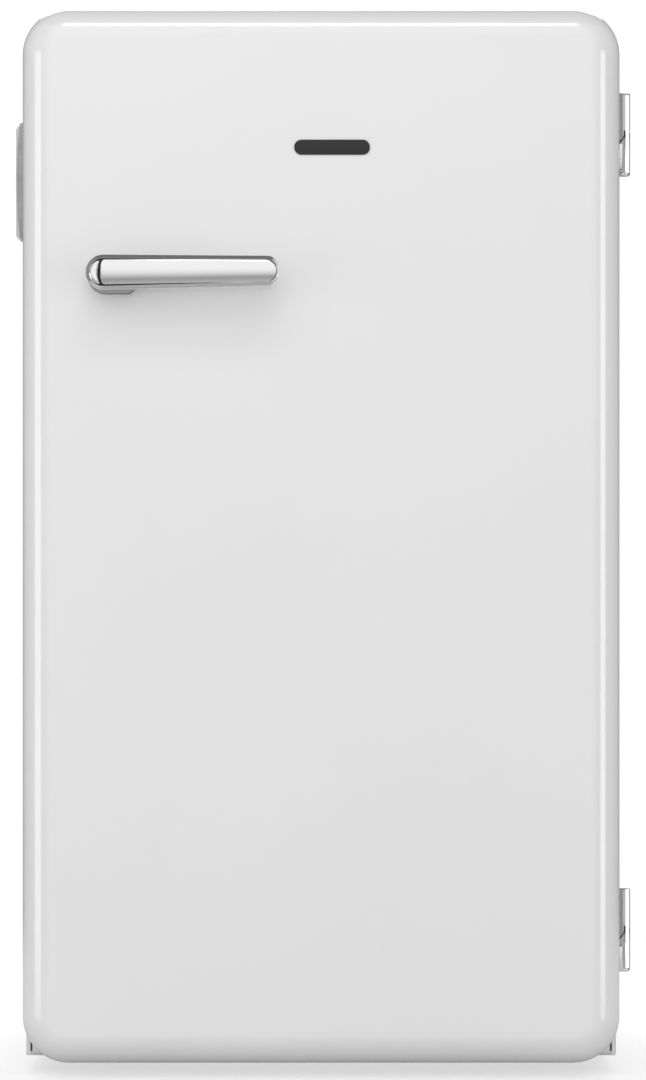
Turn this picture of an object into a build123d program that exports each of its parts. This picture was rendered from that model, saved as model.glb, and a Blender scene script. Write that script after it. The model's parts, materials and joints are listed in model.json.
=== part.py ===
from build123d import *
import os

# A single-door retro bar fridge. Millimetres, +X right, +Y into the fridge, +Z up from the floor.
# The origin is under the middle of the whole fridge, handle and hinges included.

# Outside
WIDTH = 475.0
FACE_Y = -228.0  # front of the door
DOOR_BACK_Y = -166.0
CABINET_FRONT_Y = -154.0
CABINET_BACK_Y = 264.0
REARMOST_Y = 266.0  # screw heads and cord gland stand this far back
DOOR_LOW = 11.0
DOOR_TOP = 850.0
CABINET_LOW = 12.0
CABINET_TOP = 848.0
DOOR_CORNER = 37.0
DOOR_EDGE = 24.0  # rounding of the door's front edge
CABINET_CORNER = 40.0
SHEET = 0.8  # steel sheet
DOOR_SHEET = 1.0
SIDE = WIDTH / 2

# Inside of the cabinet
LINER = 1.5  # plastic liner thickness
ROOM_X = 192.5  # half width of the cold room
ROOM_LOW = 60.0
ROOM_TOP = 800.0
ROOM_BACK_Y = 222.0
ROOM_CORNER = 18.0
STEP_Y = 90.0  # the step over the machine bay, seen from inside
STEP_TOP = 230.0
BAY_Y = 130.0  # front wall of the machine bay
BAY_TOP = 190.0
HEM = 3.4  # folded front edge of the wrapper
GROOVE = 1.5  # gap between the hem and the liner's flange
FLANGE = 15.5  # bottom return of the wrapper's sides

# Shelves, freezer and drip tray
RAIL = 12.0  # how far a rail stands out from the side wall
SHELF_FRONT_Y = -70.0
SHELF_BACK_Y = 215.0
SHELF_X = 188.0
GLASS = 4.0
SHELF_LEVELS = (400.0, 540.0)
COVER_LEVEL = 236.0
FREEZER_X = 184.0
FREEZER_LOW = 664.0
FREEZER_TOP = 790.0
FREEZER_FRONT_Y = 8.0
FREEZER_BACK_Y = 208.0
FREEZER_WALL = 1.6
FLAP_AXIS_Y = -3.2
FLAP_AXIS_Z = 672.0
FLAP_X = 170.0
FLAP_TOP = 784.0
FLAP_HALF = 2.5  # half thickness, and the radius of its pivot pins
TRAY_LEVEL = 638.0
TRAY_X = 186.0
TRAY_Y = (-5.0, 205.0)
TRAY_TALL = 17.0
TRAY_WALL = 2.0
DRAWER_X = 172.0
DRAWER_Y = (-66.0, 84.0)
DRAWER_TOP = 222.0
DRAWER_WALL = 2.5
PIVOT_GAP = 0.05  # running clearance of pins in their bores
MOVE_GAP = 0.3

# Thermostat
KNOB_X = 170.0
KNOB_Z = 609.0
HOUSING_X = (148.0, ROOM_X)
HOUSING_Y = (-40.0, 60.0)
HOUSING_Z = (584.0, 631.0)
HOUSING_WALL = 2.5
SPINDLE_R = 3.0
KNOB_R = 15.0
KNOB_TALL = 12.0
KNOB_GAP = 0.5  # between the knob and the housing
CONTROL_X = (156.0, 184.0)
CONTROL_Y = (-30.0, 10.0)
CONTROL_Z = (595.0, 623.0)

# Door inside
DYKE_GAP = 12.0  # between the door's raised rim and the cold room's walls
DYKE_X = ROOM_X - DYKE_GAP
DYKE_LOW = ROOM_LOW + DYKE_GAP
DYKE_TOP = ROOM_TOP - DYKE_GAP
DYKE_WIDE = 26.0
DYKE_Y = -138.0
GASKET_IN = 16.0  # from the door's edge
GASKET_WIDE = 20.0
GASKET_BACK_Y = CABINET_FRONT_Y - 0.1
RACK_BACK_Y = -85.0
RACK_WALL = 2.5
RACK_X = DYKE_X - DYKE_WIDE - 0.5
RACK_END = 9.0  # width of the raised ends, and the corner radius
RACKS = {  # underside, height of the front wall, height of the raised ends
    "rack_top": (520.0, 45.0, 70.0),
    "rack_middle": (330.0, 45.0, 70.0),
    "rack_bottom": (107.0, 70.0, 100.0),
}

# Hinges on the right-hand side
HINGE_X = 243.0
HINGE_Y = -160.0
HINGE_LOWS = (80.2, 719.4)
HINGE_TALL = 66.4
BARREL_R = 5.5
LEAF = 3.0  # thickness of the leaves
DOOR_LEAF_WIDE = 37.0
CABINET_LEAF_WIDE = 42.0
LEAF_TOP = 65.2  # above the hinge's lower end
NECK = 6.0  # overlap of a barrel's neck with its leaf
PIN_R = 2.5
PIN_TOP = 62.4
CAP_TALL = 2.4
WASHER = 0.5
SLANT_LOW = 23.4  # the slanted joint, above the hinge's lower end
SLANT_HIGH = 36.3
SLANT_GAP = 0.4

# Handle
HANDLE_LEFT = -185.2
HANDLE_RIGHT = -33.3
HANDLE_FRONT_Y = -266.0
HANDLE_SPLIT_Y = -258.0
HANDLE_BACK_Y = -250.0
HANDLE_LEFT_Z = (623.2, 651.8)
HANDLE_RIGHT_Z = (627.3, 650.7)
HANDLE_LEFT_CORNER = 13.9
HANDLE_RIGHT_CORNER = 9.0
CAP_EDGE = -175.4
COVER_EDGE = -172.6
HANDLE_SPACE = ((-300.0, 0.0), (600.0, 700.0))  # depth and height limits around the whole grip
BASE_X = (-183.7, -148.0)
BASE_Z = (622.3, 650.5)
BADGE_X = 8.7
BADGE_Z = (732.0, 744.0)
BADGE_HALF = 30.0
BADGE_DEEP = 1.2

# Bottle opener on the left-hand side
OPENER_OUT = 248.5
OPENER_LOW = 671.8
OPENER_TOP = 764.4
OPENER_Y = -134.0
OPENER_PLATE_BACK_Y = -104.0
OPENER_BACK_Y = -60.0
OPENER_ENDS = 6.2  # how far the plate stands out at its ends
OPENER_MIDDLE = 8.9
OPENER_WEB = 3.0  # metal left between the pocket and the cabinet
POCKET_Z = (702.0, 734.0)
TOOTH_Y = (-126.0, -117.0)
TOOTH_Z = (729.0, 735.0)
TOOTH_OUT = 8.2

# Feet
FOOT_X = 185.0
FOOT_Y = -70.0
FOOT_R = 15.0
FOOT_TALL = 8.0
REAR_FOOT = (195.0, 235.0)
REAR_FOOT_R = 14.0
SOCKET_R = 9.0
SOCKET_TOP = 47.0
SOCKET_CAP = 3.0
STUD_R = 4.0
STUD_TOP = 41.0
PAN_LOW = CABINET_LOW + SHEET
PLATE_TALL = 2.4
PLATE_TOP = PAN_LOW + PLATE_TALL

# Machine bay
CAN_X = 40.0
CAN_Y = 200.0
CAN_LONG = 150.0
CAN_WIDE = 96.0
CAN_LOW = 29.0
CAN_TOP = 163.0
CAN_DOME = 32.0  # rounding of its upper edge
CAN_FOOT = 16.0
WELD_Z = (92.0, 97.0)
WELD_OUT = 2.5
BRACKET_X = (-52.0, 132.0)
BRACKET_Y = (148.0, 252.0)
BRACKET_LOW = 26.0
MOUNT_PLACES = [(x, y) for x in (-40.0, 120.0) for y in (158.0, 242.0)]
MOUNT_R = 10.0
WAIST_R = 8.0
WAIST_Z = (19.0, 22.5)
BOLT_HEX = 7.0  # across the corners, from the middle
BOLT_HEAD = 4.0
BOLT_NUT = 3.0
BAY_PLATE_BACK_Y = 262.0
BAY_PLATE_EDGE = 2.0
BAY_PLATE_EDGE_TOP = 30.0
RELAY_X = (98.0, 143.0)
RELAY_Y = (178.0, 222.0)
RELAY_Z = (56.0, 112.0)
PAN_X = (-30.0, 110.0)  # evaporation tray
PAN_Y = (153.0, 247.0)
PAN_TALL = 18.0
PAN_WALL = 2.0
DRAIN_X = 40.0
DRAIN_Y = 210.0
DRAIN_Z = (172.0, STEP_TOP)
DRAIN_R = 6.0
DRAIN_BORE = 4.5
COIL_X = SIDE - SHEET - 2.5
COIL_R = 2.4
COIL_WALL = 0.6
COIL_TOP = 760.0
COIL_TURN = 240.0
COIL_LAST = 212.0
SUCTION_X = -75.0
SUCTION_Y = 244.0
SUCTION_Z = (120.0, 700.0)
DISCHARGE_Z = 110.0
CROSSING_Y = 139.0  # tubes that cross the bay run just behind its front wall
LINK_Z = 45.0
DRIER_X = -100.0
DRIER_Y = 235.0
DRIER_Z = (68.0, 150.0)
DRIER_R = 9.0
DRIER_TAIL = 8.0
CAPILLARY_TOP = 720.0
CAPILLARY_R = 1.2
GLAND = (190.0, 215.0)
GLAND_R = 7.0
GLAND_FLANGE_R = 10.0
GLAND_DEEP = 16.0
GLAND_BORE = 3.5
GLAND_BORE_DEEP = 14.0

# Screws
BACK_SCREW_LEVELS = (205.0, 410.0, 615.0)
BACK_SCREW_X = 215.0
BACK_SCREW_TOP = (190.0, 820.0)
HINGE_SCREW_UP = (51.0, 13.0)  # above the hinge's lower end, on the cabinet and on the door
CABINET_SCREW_Y = (-142.0, -122.0)
DOOR_SCREW_Y = (-178.0, -195.0)
OPENER_SCREWS = [(-127.0, 686.0), (-127.0, 750.0)]
HANDLE_SCREWS = [(-168.0, 637.0), (-156.0, 637.0)]


def block(x, y, z):
    """A box from three pairs of limits."""
    size = Box(x[1] - x[0], y[1] - y[0], z[1] - z[0])
    return Pos((x[0] + x[1]) / 2, (y[0] + y[1]) / 2, (z[0] + z[1]) / 2) * size


def rod(start, end, radius):
    """A round bar between two points."""
    along = Vector(*end) - Vector(*start)
    return extrude(Plane(origin=start, z_dir=along) * Circle(radius), amount=along.length)


def pipe(points, radius, wall=0.0, bend=12.0):
    """A bent tube along points; with no wall it is solid."""
    path = FilletPolyline(*points, radius=bend)
    section = Circle(radius) - Circle(radius - wall) if wall else Circle(radius)
    start = Plane(origin=path @ 0, z_dir=path % 0)
    return sweep(start * section, path=path)


def slab(half_x, z, y, corner, x=0.0):
    """A plate seen from the front as a rectangle with four round corners."""
    tall = z[1] - z[0]
    front = Plane(origin=(x, y[0], (z[0] + z[1]) / 2), x_dir=(1, 0, 0), z_dir=(0, 1, 0))
    return extrude(front * RectangleRounded(2 * half_x, tall, corner), amount=y[1] - y[0])


def ring(outer, inner):
    """Outer slab less inner slab, each given as slab's arguments."""
    return slab(*outer) - slab(*inner)


def mirrored(shape):
    return mirror(shape, about=Plane.YZ)


def screw(point, outward, length, radius=2.0, head=4.0, deep=2.0, sunk=True):
    """A screw with its head at a point; a sunk head lies under it, a pan head on it."""
    seat = Plane(origin=point, z_dir=outward)
    shank = Pos(0, 0, -length / 2) * Cylinder(radius, length)
    if sunk:
        top = Pos(0, 0, -deep / 2) * Cone(radius, head, deep)
    else:
        top = Pos(0, 0, deep / 2) * Cylinder(head, deep)
        top = fillet(top.edges().group_by(Axis.Z)[-1], deep * 0.45)
    return seat * (shank + top)


def save(node, *shapes):
    whole = shapes[0] if len(shapes) == 1 else Compound(children=list(shapes))
    export_step(whole, f"parts/{node}.step")


# Screws that pass through more than one piece


def hinge_screws(low):
    """Two screws in each leaf of one hinge: those of the cabinet, then those of the door."""
    outside = SIDE + LEAF
    up, down = HINGE_SCREW_UP
    upper = [screw((outside, y, low + up), (1, 0, 0), 18) for y in CABINET_SCREW_Y]
    lower = [screw((outside, y, low + down), (1, 0, 0), 18) for y in DOOR_SCREW_Y]
    return upper, lower


def opener_screws():
    out = -SIDE - OPENER_ENDS
    return [screw((out, y, z), (-1, 0, 0), 20, 2, 3.6, 2) for y, z in OPENER_SCREWS]


def handle_screws():
    y = FACE_Y + DOOR_SHEET
    return [screw((x, y, z), (0, 1, 0), 14, 2.2, 4.4, 2.6, sunk=False) for x, z in HANDLE_SCREWS]


def back_screws():
    places = [(side * BACK_SCREW_X, z) for side in (-1, 1) for z in BACK_SCREW_LEVELS]
    places += [(side * BACK_SCREW_TOP[0], BACK_SCREW_TOP[1]) for side in (-1, 1)]
    return [screw((x, CABINET_BACK_Y, z), (0, 1, 0), 14, 2, 4, 2, sunk=False) for x, z in places]


# Cabinet


def cabinet_block(inset, y, low):
    """The cabinet's outline with round top corners, drawn in by inset."""
    body = block((inset - SIDE, SIDE - inset), y, (low, CABINET_TOP - inset))
    top = body.edges().filter_by(Axis.Y).group_by(Axis.Z)[-1]
    return fillet(top, CABINET_CORNER - inset)


def room(grow):
    """The cold room, grown by grow, with the step over the machine bay cut away."""
    half = ROOM_X + grow
    y = (CABINET_FRONT_Y, ROOM_BACK_Y + grow)
    body = block((-half, half), y, (ROOM_LOW - grow, ROOM_TOP + grow))
    body = fillet(body.edges().filter_by(Axis.Y), ROOM_CORNER + grow)
    step_y = (STEP_Y + grow, ROOM_BACK_Y + 20)
    return body - block((-SIDE, SIDE), step_y, (0, STEP_TOP - grow))


def liner_flange():
    edge = HEM + GROOVE
    y = (CABINET_FRONT_Y, CABINET_FRONT_Y + LINER)
    return cabinet_block(edge, y, CABINET_LOW + edge) - room(LINER)


def rails():
    """Rails for shelves, crisper cover, drip tray and freezer box, on both side walls."""
    levels = [(h - 6, h, -60.0, SHELF_BACK_Y) for h in SHELF_LEVELS]
    levels.append((STEP_TOP, COVER_LEVEL, -60.0, SHELF_BACK_Y))
    levels.append((TRAY_LEVEL - 5, TRAY_LEVEL, -10.0, FREEZER_BACK_Y))
    levels.append((FREEZER_LOW - 5, FREEZER_LOW, 20.0, FREEZER_BACK_Y))
    bars = [
        block((ROOM_X - RAIL, ROOM_X + LINER / 2), (front, back), (low, high))
        for low, high, front, back in levels
    ]
    return bars + [mirrored(bar) for bar in bars]


def inner_liner(holes):
    body = room(LINER) - room(0) + liner_flange()
    for bar in rails():
        body = body + bar
    for hole in holes:
        body = body - hole
    return body


def cabinet_shell(holes):
    """Painted steel wrapper: sides and top in one, with a front hem and bottom returns."""
    y = (CABINET_FRONT_Y, CABINET_BACK_Y)
    inside_y = (CABINET_FRONT_Y - 1, CABINET_BACK_Y + 1)
    body = cabinet_block(0, y, CABINET_LOW) - cabinet_block(SHEET, inside_y, CABINET_LOW - 1)
    hem_y = (CABINET_FRONT_Y, CABINET_FRONT_Y + SHEET)
    hem = cabinet_block(0, hem_y, CABINET_LOW) - cabinet_block(HEM, inside_y, CABINET_LOW - 1)
    foot = block((SIDE - FLANGE, SIDE), y, (CABINET_LOW, CABINET_LOW + SHEET))
    body = body + hem + foot + mirrored(foot)
    for hole in holes:
        body = body - hole
    return body


def base_pan(holes):
    """Bottom sheet: floor, front lip, and the step that makes the machine bay."""
    half = SIDE - SHEET
    floor_y = (CABINET_FRONT_Y + SHEET, BAY_Y + SHEET)
    body = block((-half, half), floor_y, (PAN_LOW, PAN_LOW + SHEET))
    body = body + block((-half, half), (BAY_Y, BAY_Y + SHEET), (PAN_LOW, BAY_TOP))
    roof_y = (BAY_Y, CABINET_BACK_Y - SHEET)
    body = body + block((-half, half), roof_y, (BAY_TOP - SHEET, BAY_TOP))
    lip_x = SIDE - HEM
    lip_y = (CABINET_FRONT_Y, CABINET_FRONT_Y + SHEET)
    body = body + block((-lip_x, lip_x), lip_y, (PAN_LOW, CABINET_LOW + HEM))
    for hole in holes:
        body = body - hole
    return body


def back_panel(holes):
    y = (CABINET_BACK_Y - SHEET, CABINET_BACK_Y)
    body = cabinet_block(SHEET, y, BAY_TOP - SHEET)
    for hole in holes:
        body = body - hole
    return body


def cabinet_foam(holes):
    """Foam between the wrapper, the liner, the pan and the back panel."""
    y = (CABINET_FRONT_Y + LINER, CABINET_BACK_Y - SHEET)
    body = cabinet_block(SHEET, y, PAN_LOW + SHEET) - room(LINER)
    body = body - block((-SIDE, SIDE), (BAY_Y, REARMOST_Y), (0, BAY_TOP))
    for hole in holes:
        body = body - hole
    return body


# Shelves, crisper, freezer and thermostat


def shelf_glass(level):
    return block((-SHELF_X, SHELF_X), (SHELF_FRONT_Y, SHELF_BACK_Y), (level, level + GLASS))


def shelf_trims(level):
    """Front and rear plastic edges of one glass shelf."""
    front_y = (SHELF_FRONT_Y - 6, SHELF_FRONT_Y + 6)
    front = block((-SHELF_X, SHELF_X), front_y, (level - 3, level + GLASS + 4))
    front = fillet(front.edges().filter_by(Axis.X), 2.0)
    rear_y = (SHELF_BACK_Y - 8, SHELF_BACK_Y + 3)
    rear = block((4 - SHELF_X, SHELF_X - 4), rear_y, (level, level + GLASS + 10))
    rear = fillet(rear.edges().filter_by(Axis.X).group_by(Axis.Z)[-1], 2.0)
    return [front - shelf_glass(level), rear - shelf_glass(level)]


def open_box(x, y, z, wall, corner):
    """A tray with round upright corners, open at the top."""
    body = block(x, y, z)
    body = fillet(body.edges().filter_by(Axis.Z), corner)
    inner_y = (y[0] + wall, y[1] - wall)
    inside = block((x[0] + wall, x[1] - wall), inner_y, (z[0] + wall, z[1] + 1))
    return body - fillet(inside.edges().filter_by(Axis.Z), corner - wall)


def finger_lip(half, y, z, corner):
    """A flat lip with round front corners, to pull by."""
    lip = block((-half, half), y, z)
    return fillet(lip.edges().filter_by(Axis.Z).group_by(Axis.Y)[0], corner)


def crisper_drawer():
    front, top = DRAWER_Y[0], DRAWER_TOP
    x = (-DRAWER_X, DRAWER_X)
    body = open_box(x, DRAWER_Y, (ROOM_LOW, top), DRAWER_WALL, 10)
    lip = finger_lip(60, (front - 9, front + DRAWER_WALL), (top - 14, top - 10), 6)
    return body + lip + block(x, (front - 3, front + DRAWER_WALL), (top - 5, top))


def freezer_box():
    """Aluminium evaporator box, open at the front, with raised channels on top."""
    z = (FREEZER_LOW, FREEZER_TOP)
    body = slab(FREEZER_X, z, (FREEZER_FRONT_Y, FREEZER_BACK_Y), 8)
    inner_z = (z[0] + FREEZER_WALL, z[1] - FREEZER_WALL)
    inner_y = (FREEZER_FRONT_Y - 1, FREEZER_BACK_Y - FREEZER_WALL)
    body = body - slab(FREEZER_X - FREEZER_WALL, inner_z, inner_y, 8 - FREEZER_WALL)
    for y in range(30, 200, 28):
        channel = rod((-160, y, FREEZER_TOP - 0.6), (160, y, FREEZER_TOP - 0.6), 2.6)
        body = body + (channel - block((-SIDE, SIDE), (0, 260), (0, FREEZER_TOP - 0.6)))
    return body


def freezer_frame():
    """Plastic frame on the freezer's mouth, with lugs that hold the flap's pins."""
    z = (FREEZER_LOW - 2, FREEZER_TOP + 2)
    mouth = (FREEZER_LOW + 11, FREEZER_TOP - 8)
    outer = (FREEZER_X + 1, z, (0, FREEZER_FRONT_Y), 8)
    body = ring(outer, (FREEZER_X - 10, mouth, (-1, FREEZER_FRONT_Y + 1), 6))
    lug = block((FLAP_X + 2, FLAP_X + 10), (-8, 0.5), (FREEZER_LOW, FREEZER_LOW + 16))
    lug = fillet(lug.edges().filter_by(Axis.X).group_by(Axis.Y)[0], 3.5)
    axis = (FLAP_AXIS_Y, FLAP_AXIS_Z)
    bore = rod((FLAP_X, *axis), (FLAP_X + 7, *axis), FLAP_HALF + PIVOT_GAP)
    lug = lug - bore
    return body - bore - mirrored(bore) + lug + mirrored(lug)


def freezer_flap():
    y = (FLAP_AXIS_Y - FLAP_HALF, FLAP_AXIS_Y + FLAP_HALF)
    body = block((-FLAP_X, FLAP_X), y, (FLAP_AXIS_Z, FLAP_TOP))
    body = fillet(body.edges().filter_by(Axis.Y).group_by(Axis.Z)[-1], 8)
    axis = (FLAP_AXIS_Y, FLAP_AXIS_Z)
    body = body + rod((-FLAP_X, *axis), (FLAP_X, *axis), FLAP_HALF)
    pins = rod((-FLAP_X - 6, *axis), (FLAP_X + 6, *axis), FLAP_HALF)
    return body + pins + finger_lip(32, (y[0] - 8, y[0] + 1), (FLAP_TOP - 12, FLAP_TOP - 8), 5)


def drip_tray():
    front, top = TRAY_Y[0], TRAY_LEVEL + TRAY_TALL
    body = open_box((-TRAY_X, TRAY_X), TRAY_Y, (TRAY_LEVEL + 0.1, top), TRAY_WALL, 6)
    return body + finger_lip(40, (front - 8, front + 1), (top - 4, top), 5)


def thermostat_housing():
    """Cover on the right-hand wall, open towards the wall."""
    x, y, z, wall = HOUSING_X, HOUSING_Y, HOUSING_Z, HOUSING_WALL
    body = block(x, y, z)
    body = fillet(body.edges().filter_by(Axis.Z).group_by(Axis.X)[0], 8)
    inside = block((x[0] + wall, x[1] + 1), (y[0] + wall, y[1] - wall), (z[0] + wall, z[1] - wall))
    spindle_way = rod((KNOB_X, y[0] - 1, KNOB_Z), (KNOB_X, y[0] + 5, KNOB_Z), SPINDLE_R + MOVE_GAP)
    return body - inside - spindle_way


def thermostat_body():
    front = CONTROL_Y[0]
    body = block(CONTROL_X, CONTROL_Y, CONTROL_Z)
    stem = rod((KNOB_X, front - 4, KNOB_Z), (KNOB_X, front + 1, KNOB_Z), 2 * SPINDLE_R)
    bore_r = SPINDLE_R + PIVOT_GAP
    return body + stem - rod((KNOB_X, front - 5, KNOB_Z), (KNOB_X, front + 10, KNOB_Z), bore_r)


def thermostat_knob():
    """Ribbed knob with its spindle and a pointer rib."""
    rear = HOUSING_Y[0] - KNOB_GAP
    face = rear - KNOB_TALL
    disc = rod((KNOB_X, face, KNOB_Z), (KNOB_X, rear, KNOB_Z), KNOB_R)
    disc = chamfer(disc.edges().group_by(Axis.Y)[0], 1.2)
    rim_z = KNOB_Z + KNOB_R + 1
    for turn in range(0, 360, 20):
        notch = rod((KNOB_X, face - 1, rim_z), (KNOB_X, face + 9, rim_z), 1.8)
        disc = disc - notch.rotate(Axis((KNOB_X, 0, KNOB_Z), (0, 1, 0)), turn)
    pointer = block((KNOB_X - 1, KNOB_X + 1), (face - 0.8, face + 1), (KNOB_Z + 2, KNOB_Z + 12))
    spindle_end = CONTROL_Y[0] + 9.5
    return disc + pointer + rod((KNOB_X, rear - 0.5, KNOB_Z), (KNOB_X, spindle_end, KNOB_Z), SPINDLE_R)


# Bottle opener


def opener_bar():
    """A bar on the left side wall whose outer face is an arc seen from the front."""
    middle = (OPENER_LOW + OPENER_TOP) / 2
    front = Plane(origin=(0, OPENER_Y, 0), x_dir=(1, 0, 0), z_dir=(0, -1, 0))
    ends = -SIDE - OPENER_ENDS
    edge = Polyline((ends, OPENER_TOP), (-SIDE, OPENER_TOP), (-SIDE, OPENER_LOW), (ends, OPENER_LOW))
    arc = ThreePointArc((ends, OPENER_LOW), (-SIDE - OPENER_MIDDLE, middle), (ends, OPENER_TOP))
    return extrude(front * make_face(edge + arc), amount=OPENER_Y - OPENER_PLATE_BACK_Y)


def opener_plate(holes):
    """Metal plate with the pocket and tooth that lift a bottle cap."""
    web = -SIDE - OPENER_WEB
    pocket = block((-OPENER_OUT, web), (OPENER_Y - 1, OPENER_PLATE_BACK_Y - 4), POCKET_Z)
    body = opener_bar() - pocket + block((-SIDE - TOOTH_OUT, web), TOOTH_Y, TOOTH_Z)
    for hole in holes:
        body = body - hole
    return body


def opener_housing():
    z = (OPENER_LOW, OPENER_TOP)
    body = block((-OPENER_OUT, -SIDE), (OPENER_PLATE_BACK_Y, OPENER_BACK_Y), z)
    body = fillet(body.edges().filter_by(Axis.Y).group_by(Axis.X)[0], 4)
    return fillet(body.edges().group_by(Axis.Y)[-1], 3)


# Machine bay


def can_outline(grow, z):
    outline = SlotOverall(CAN_LONG + 2 * grow, CAN_WIDE + 2 * grow)
    return extrude(Pos(CAN_X, CAN_Y, z[0]) * outline, amount=z[1] - z[0])


def compressor():
    body = can_outline(0, (CAN_LOW, CAN_TOP))
    body = fillet(body.edges().group_by(Axis.Z)[-1], CAN_DOME)
    body = fillet(body.edges().group_by(Axis.Z)[0], CAN_FOOT)
    return body + can_outline(WELD_OUT, WELD_Z)


def mount_holes(radius):
    return [rod((x, y, 0), (x, y, 40), radius) for x, y in MOUNT_PLACES]


def compressor_bracket():
    body = block(BRACKET_X, BRACKET_Y, (BRACKET_LOW, CAN_LOW))
    body = fillet(body.edges().filter_by(Axis.Z), 12)
    for hole in mount_holes(STUD_R):
        body = body - hole
    return body


def compressor_mounts():
    """Four rubber mounts, waisted, each with a bore for its bolt."""
    mounts = []
    for x, y in MOUNT_PLACES:
        body = rod((x, y, PLATE_TOP), (x, y, BRACKET_LOW), MOUNT_R)
        waist = rod((x, y, WAIST_Z[0]), (x, y, WAIST_Z[1]), MOUNT_R + 2)
        waist = waist - rod((x, y, 0), (x, y, BRACKET_LOW), WAIST_R)
        mounts.append(body - waist - rod((x, y, 0), (x, y, 40), STUD_R))
    return mounts


def mount_bolts():
    bolts = []
    for x, y in MOUNT_PLACES:
        low, high = PAN_LOW - BOLT_NUT, CAN_LOW + BOLT_HEAD
        head = Pos(x, y, CAN_LOW) * extrude(RegularPolygon(BOLT_HEX, 6), amount=BOLT_HEAD)
        nut = Pos(x, y, low) * extrude(RegularPolygon(BOLT_HEX, 6), amount=BOLT_NUT)
        bolts.append(rod((x, y, low), (x, y, high), STUD_R) + head + nut)
    return bolts


def bay_plate():
    """Steel plate across the machine bay, with a raised rear edge."""
    half, back = SIDE - SHEET, BAY_PLATE_BACK_Y
    body = block((-half, half), (BAY_Y + SHEET, back), (PAN_LOW, PLATE_TOP))
    edge_z = (PAN_LOW, BAY_PLATE_EDGE_TOP)
    body = body + block((-half, half), (back - BAY_PLATE_EDGE, back), edge_z)
    for hole in mount_holes(STUD_R):
        body = body - hole
    return body


def rear_feet():
    foot = rod((*REAR_FOOT, 0), (*REAR_FOOT, PAN_LOW), REAR_FOOT_R)
    foot = chamfer(foot.edges().group_by(Axis.Z)[0], 1.5)
    return [foot, mirrored(foot)]


def foot_sockets():
    body = rod((FOOT_X, FOOT_Y, CABINET_LOW), (FOOT_X, FOOT_Y, SOCKET_TOP), SOCKET_R)
    bore_top = SOCKET_TOP - SOCKET_CAP
    body = body - rod((FOOT_X, FOOT_Y, 0), (FOOT_X, FOOT_Y, bore_top), STUD_R + MOVE_GAP)
    return [body, mirrored(body)]


def socket_space():
    body = rod((FOOT_X, FOOT_Y, 0), (FOOT_X, FOOT_Y, SOCKET_TOP), SOCKET_R)
    return [body, mirrored(body)]


def levelling_foot(x):
    pad = rod((x, FOOT_Y, 0), (x, FOOT_Y, FOOT_TALL), FOOT_R)
    pad = fillet(pad.edges().group_by(Axis.Z)[-1], 2.5)
    hex_neck = Pos(x, FOOT_Y, FOOT_TALL - 1) * extrude(RegularPolygon(FOOT_R / 2, 6), amount=4)
    return pad + hex_neck + rod((x, FOOT_Y, FOOT_TALL), (x, FOOT_Y, STUD_TOP), STUD_R)


def relay_cover():
    body = block(RELAY_X, RELAY_Y, RELAY_Z)
    body = fillet(body.edges().group_by(Axis.X)[-1], 5)
    return body - compressor()


def evaporation_tray():
    return open_box(PAN_X, PAN_Y, (CAN_TOP, CAN_TOP + PAN_TALL), PAN_WALL, 10)


def drain_tube(hollow=True):
    low, high = DRAIN_Z
    body = rod((DRAIN_X, DRAIN_Y, low), (DRAIN_X, DRAIN_Y, high), DRAIN_R)
    if hollow:
        body = body - rod((DRAIN_X, DRAIN_Y, low - 1), (DRAIN_X, DRAIN_Y, high + 1), DRAIN_BORE)
    return body


def suction_tube(wall=0.8):
    low, high = SUCTION_Z
    points = [
        (-34, CAN_Y, low),
        (SUCTION_X, CAN_Y, low),
        (SUCTION_X, SUCTION_Y, low),
        (SUCTION_X, SUCTION_Y, high),
        (SUCTION_X, FREEZER_BACK_Y + 0.5, high),
    ]
    return pipe(points, 4, wall) - compressor()


def capillary_tube():
    points = [
        (DRIER_X, DRIER_Y, DRIER_Z[1] + DRIER_TAIL),
        (DRIER_X, DRIER_Y, CAPILLARY_TOP),
        (DRIER_X, FREEZER_BACK_Y + 0.5, CAPILLARY_TOP),
    ]
    return pipe(points, CAPILLARY_R, bend=8)


def discharge_tube():
    z = DISCHARGE_Z
    points = [
        (20, 154, z),
        (20, CROSSING_Y, z),
        (-212, CROSSING_Y, z),
        (-212, 160, z),
        (COIL_R - COIL_X, 160, z),
    ]
    return pipe(points, 3, 0.8, bend=8) - compressor()


def condenser_coil(side, wall=COIL_WALL):
    """Tube laid to and fro against the inside of one side sheet, both ends in the bay."""
    top, low, last = COIL_TOP, COIL_TURN, COIL_LAST
    turns = [(160, DISCHARGE_Z), (160, top), (110, top), (110, low), (55, low), (55, top), (0, top)]
    turns += [(0, low), (-50, low), (-50, top), (-95, top), (-95, last), (141, last), (141, 150)]
    return pipe([(side * COIL_X, y, z) for y, z in turns], COIL_R, wall, bend=14)


def link_tubes():
    """The tube between the two condenser coils, and the one on to the filter drier."""
    end = COIL_X - COIL_R
    across = [(-end, 141, 150), (end, 141, 150)]
    front_y = CROSSING_Y - 2
    onward = [
        (end, 160, DISCHARGE_Z),
        (214, 160, DISCHARGE_Z),
        (214, 160, LINK_Z),
        (214, front_y, LINK_Z),
        (DRIER_X, front_y, LINK_Z),
        (DRIER_X, DRIER_Y, LINK_Z),
        (DRIER_X, DRIER_Y, DRIER_Z[0] - DRIER_TAIL),
    ]
    between = rod(*across, COIL_R) - rod(*across, COIL_R - COIL_WALL)
    return [between, pipe(onward, COIL_R, COIL_WALL, 8)]


def filter_drier():
    x, y = DRIER_X, DRIER_Y
    low, high = DRIER_Z
    body = rod((x, y, low), (x, y, high), DRIER_R)
    body = fillet(body.edges().filter_by(GeomType.CIRCLE), 5)
    inlet = rod((x, y, low - DRIER_TAIL), (x, y, low + 2), 3.5)
    return body + inlet + rod((x, y, high - 2), (x, y, high + DRIER_TAIL), 3)


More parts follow.
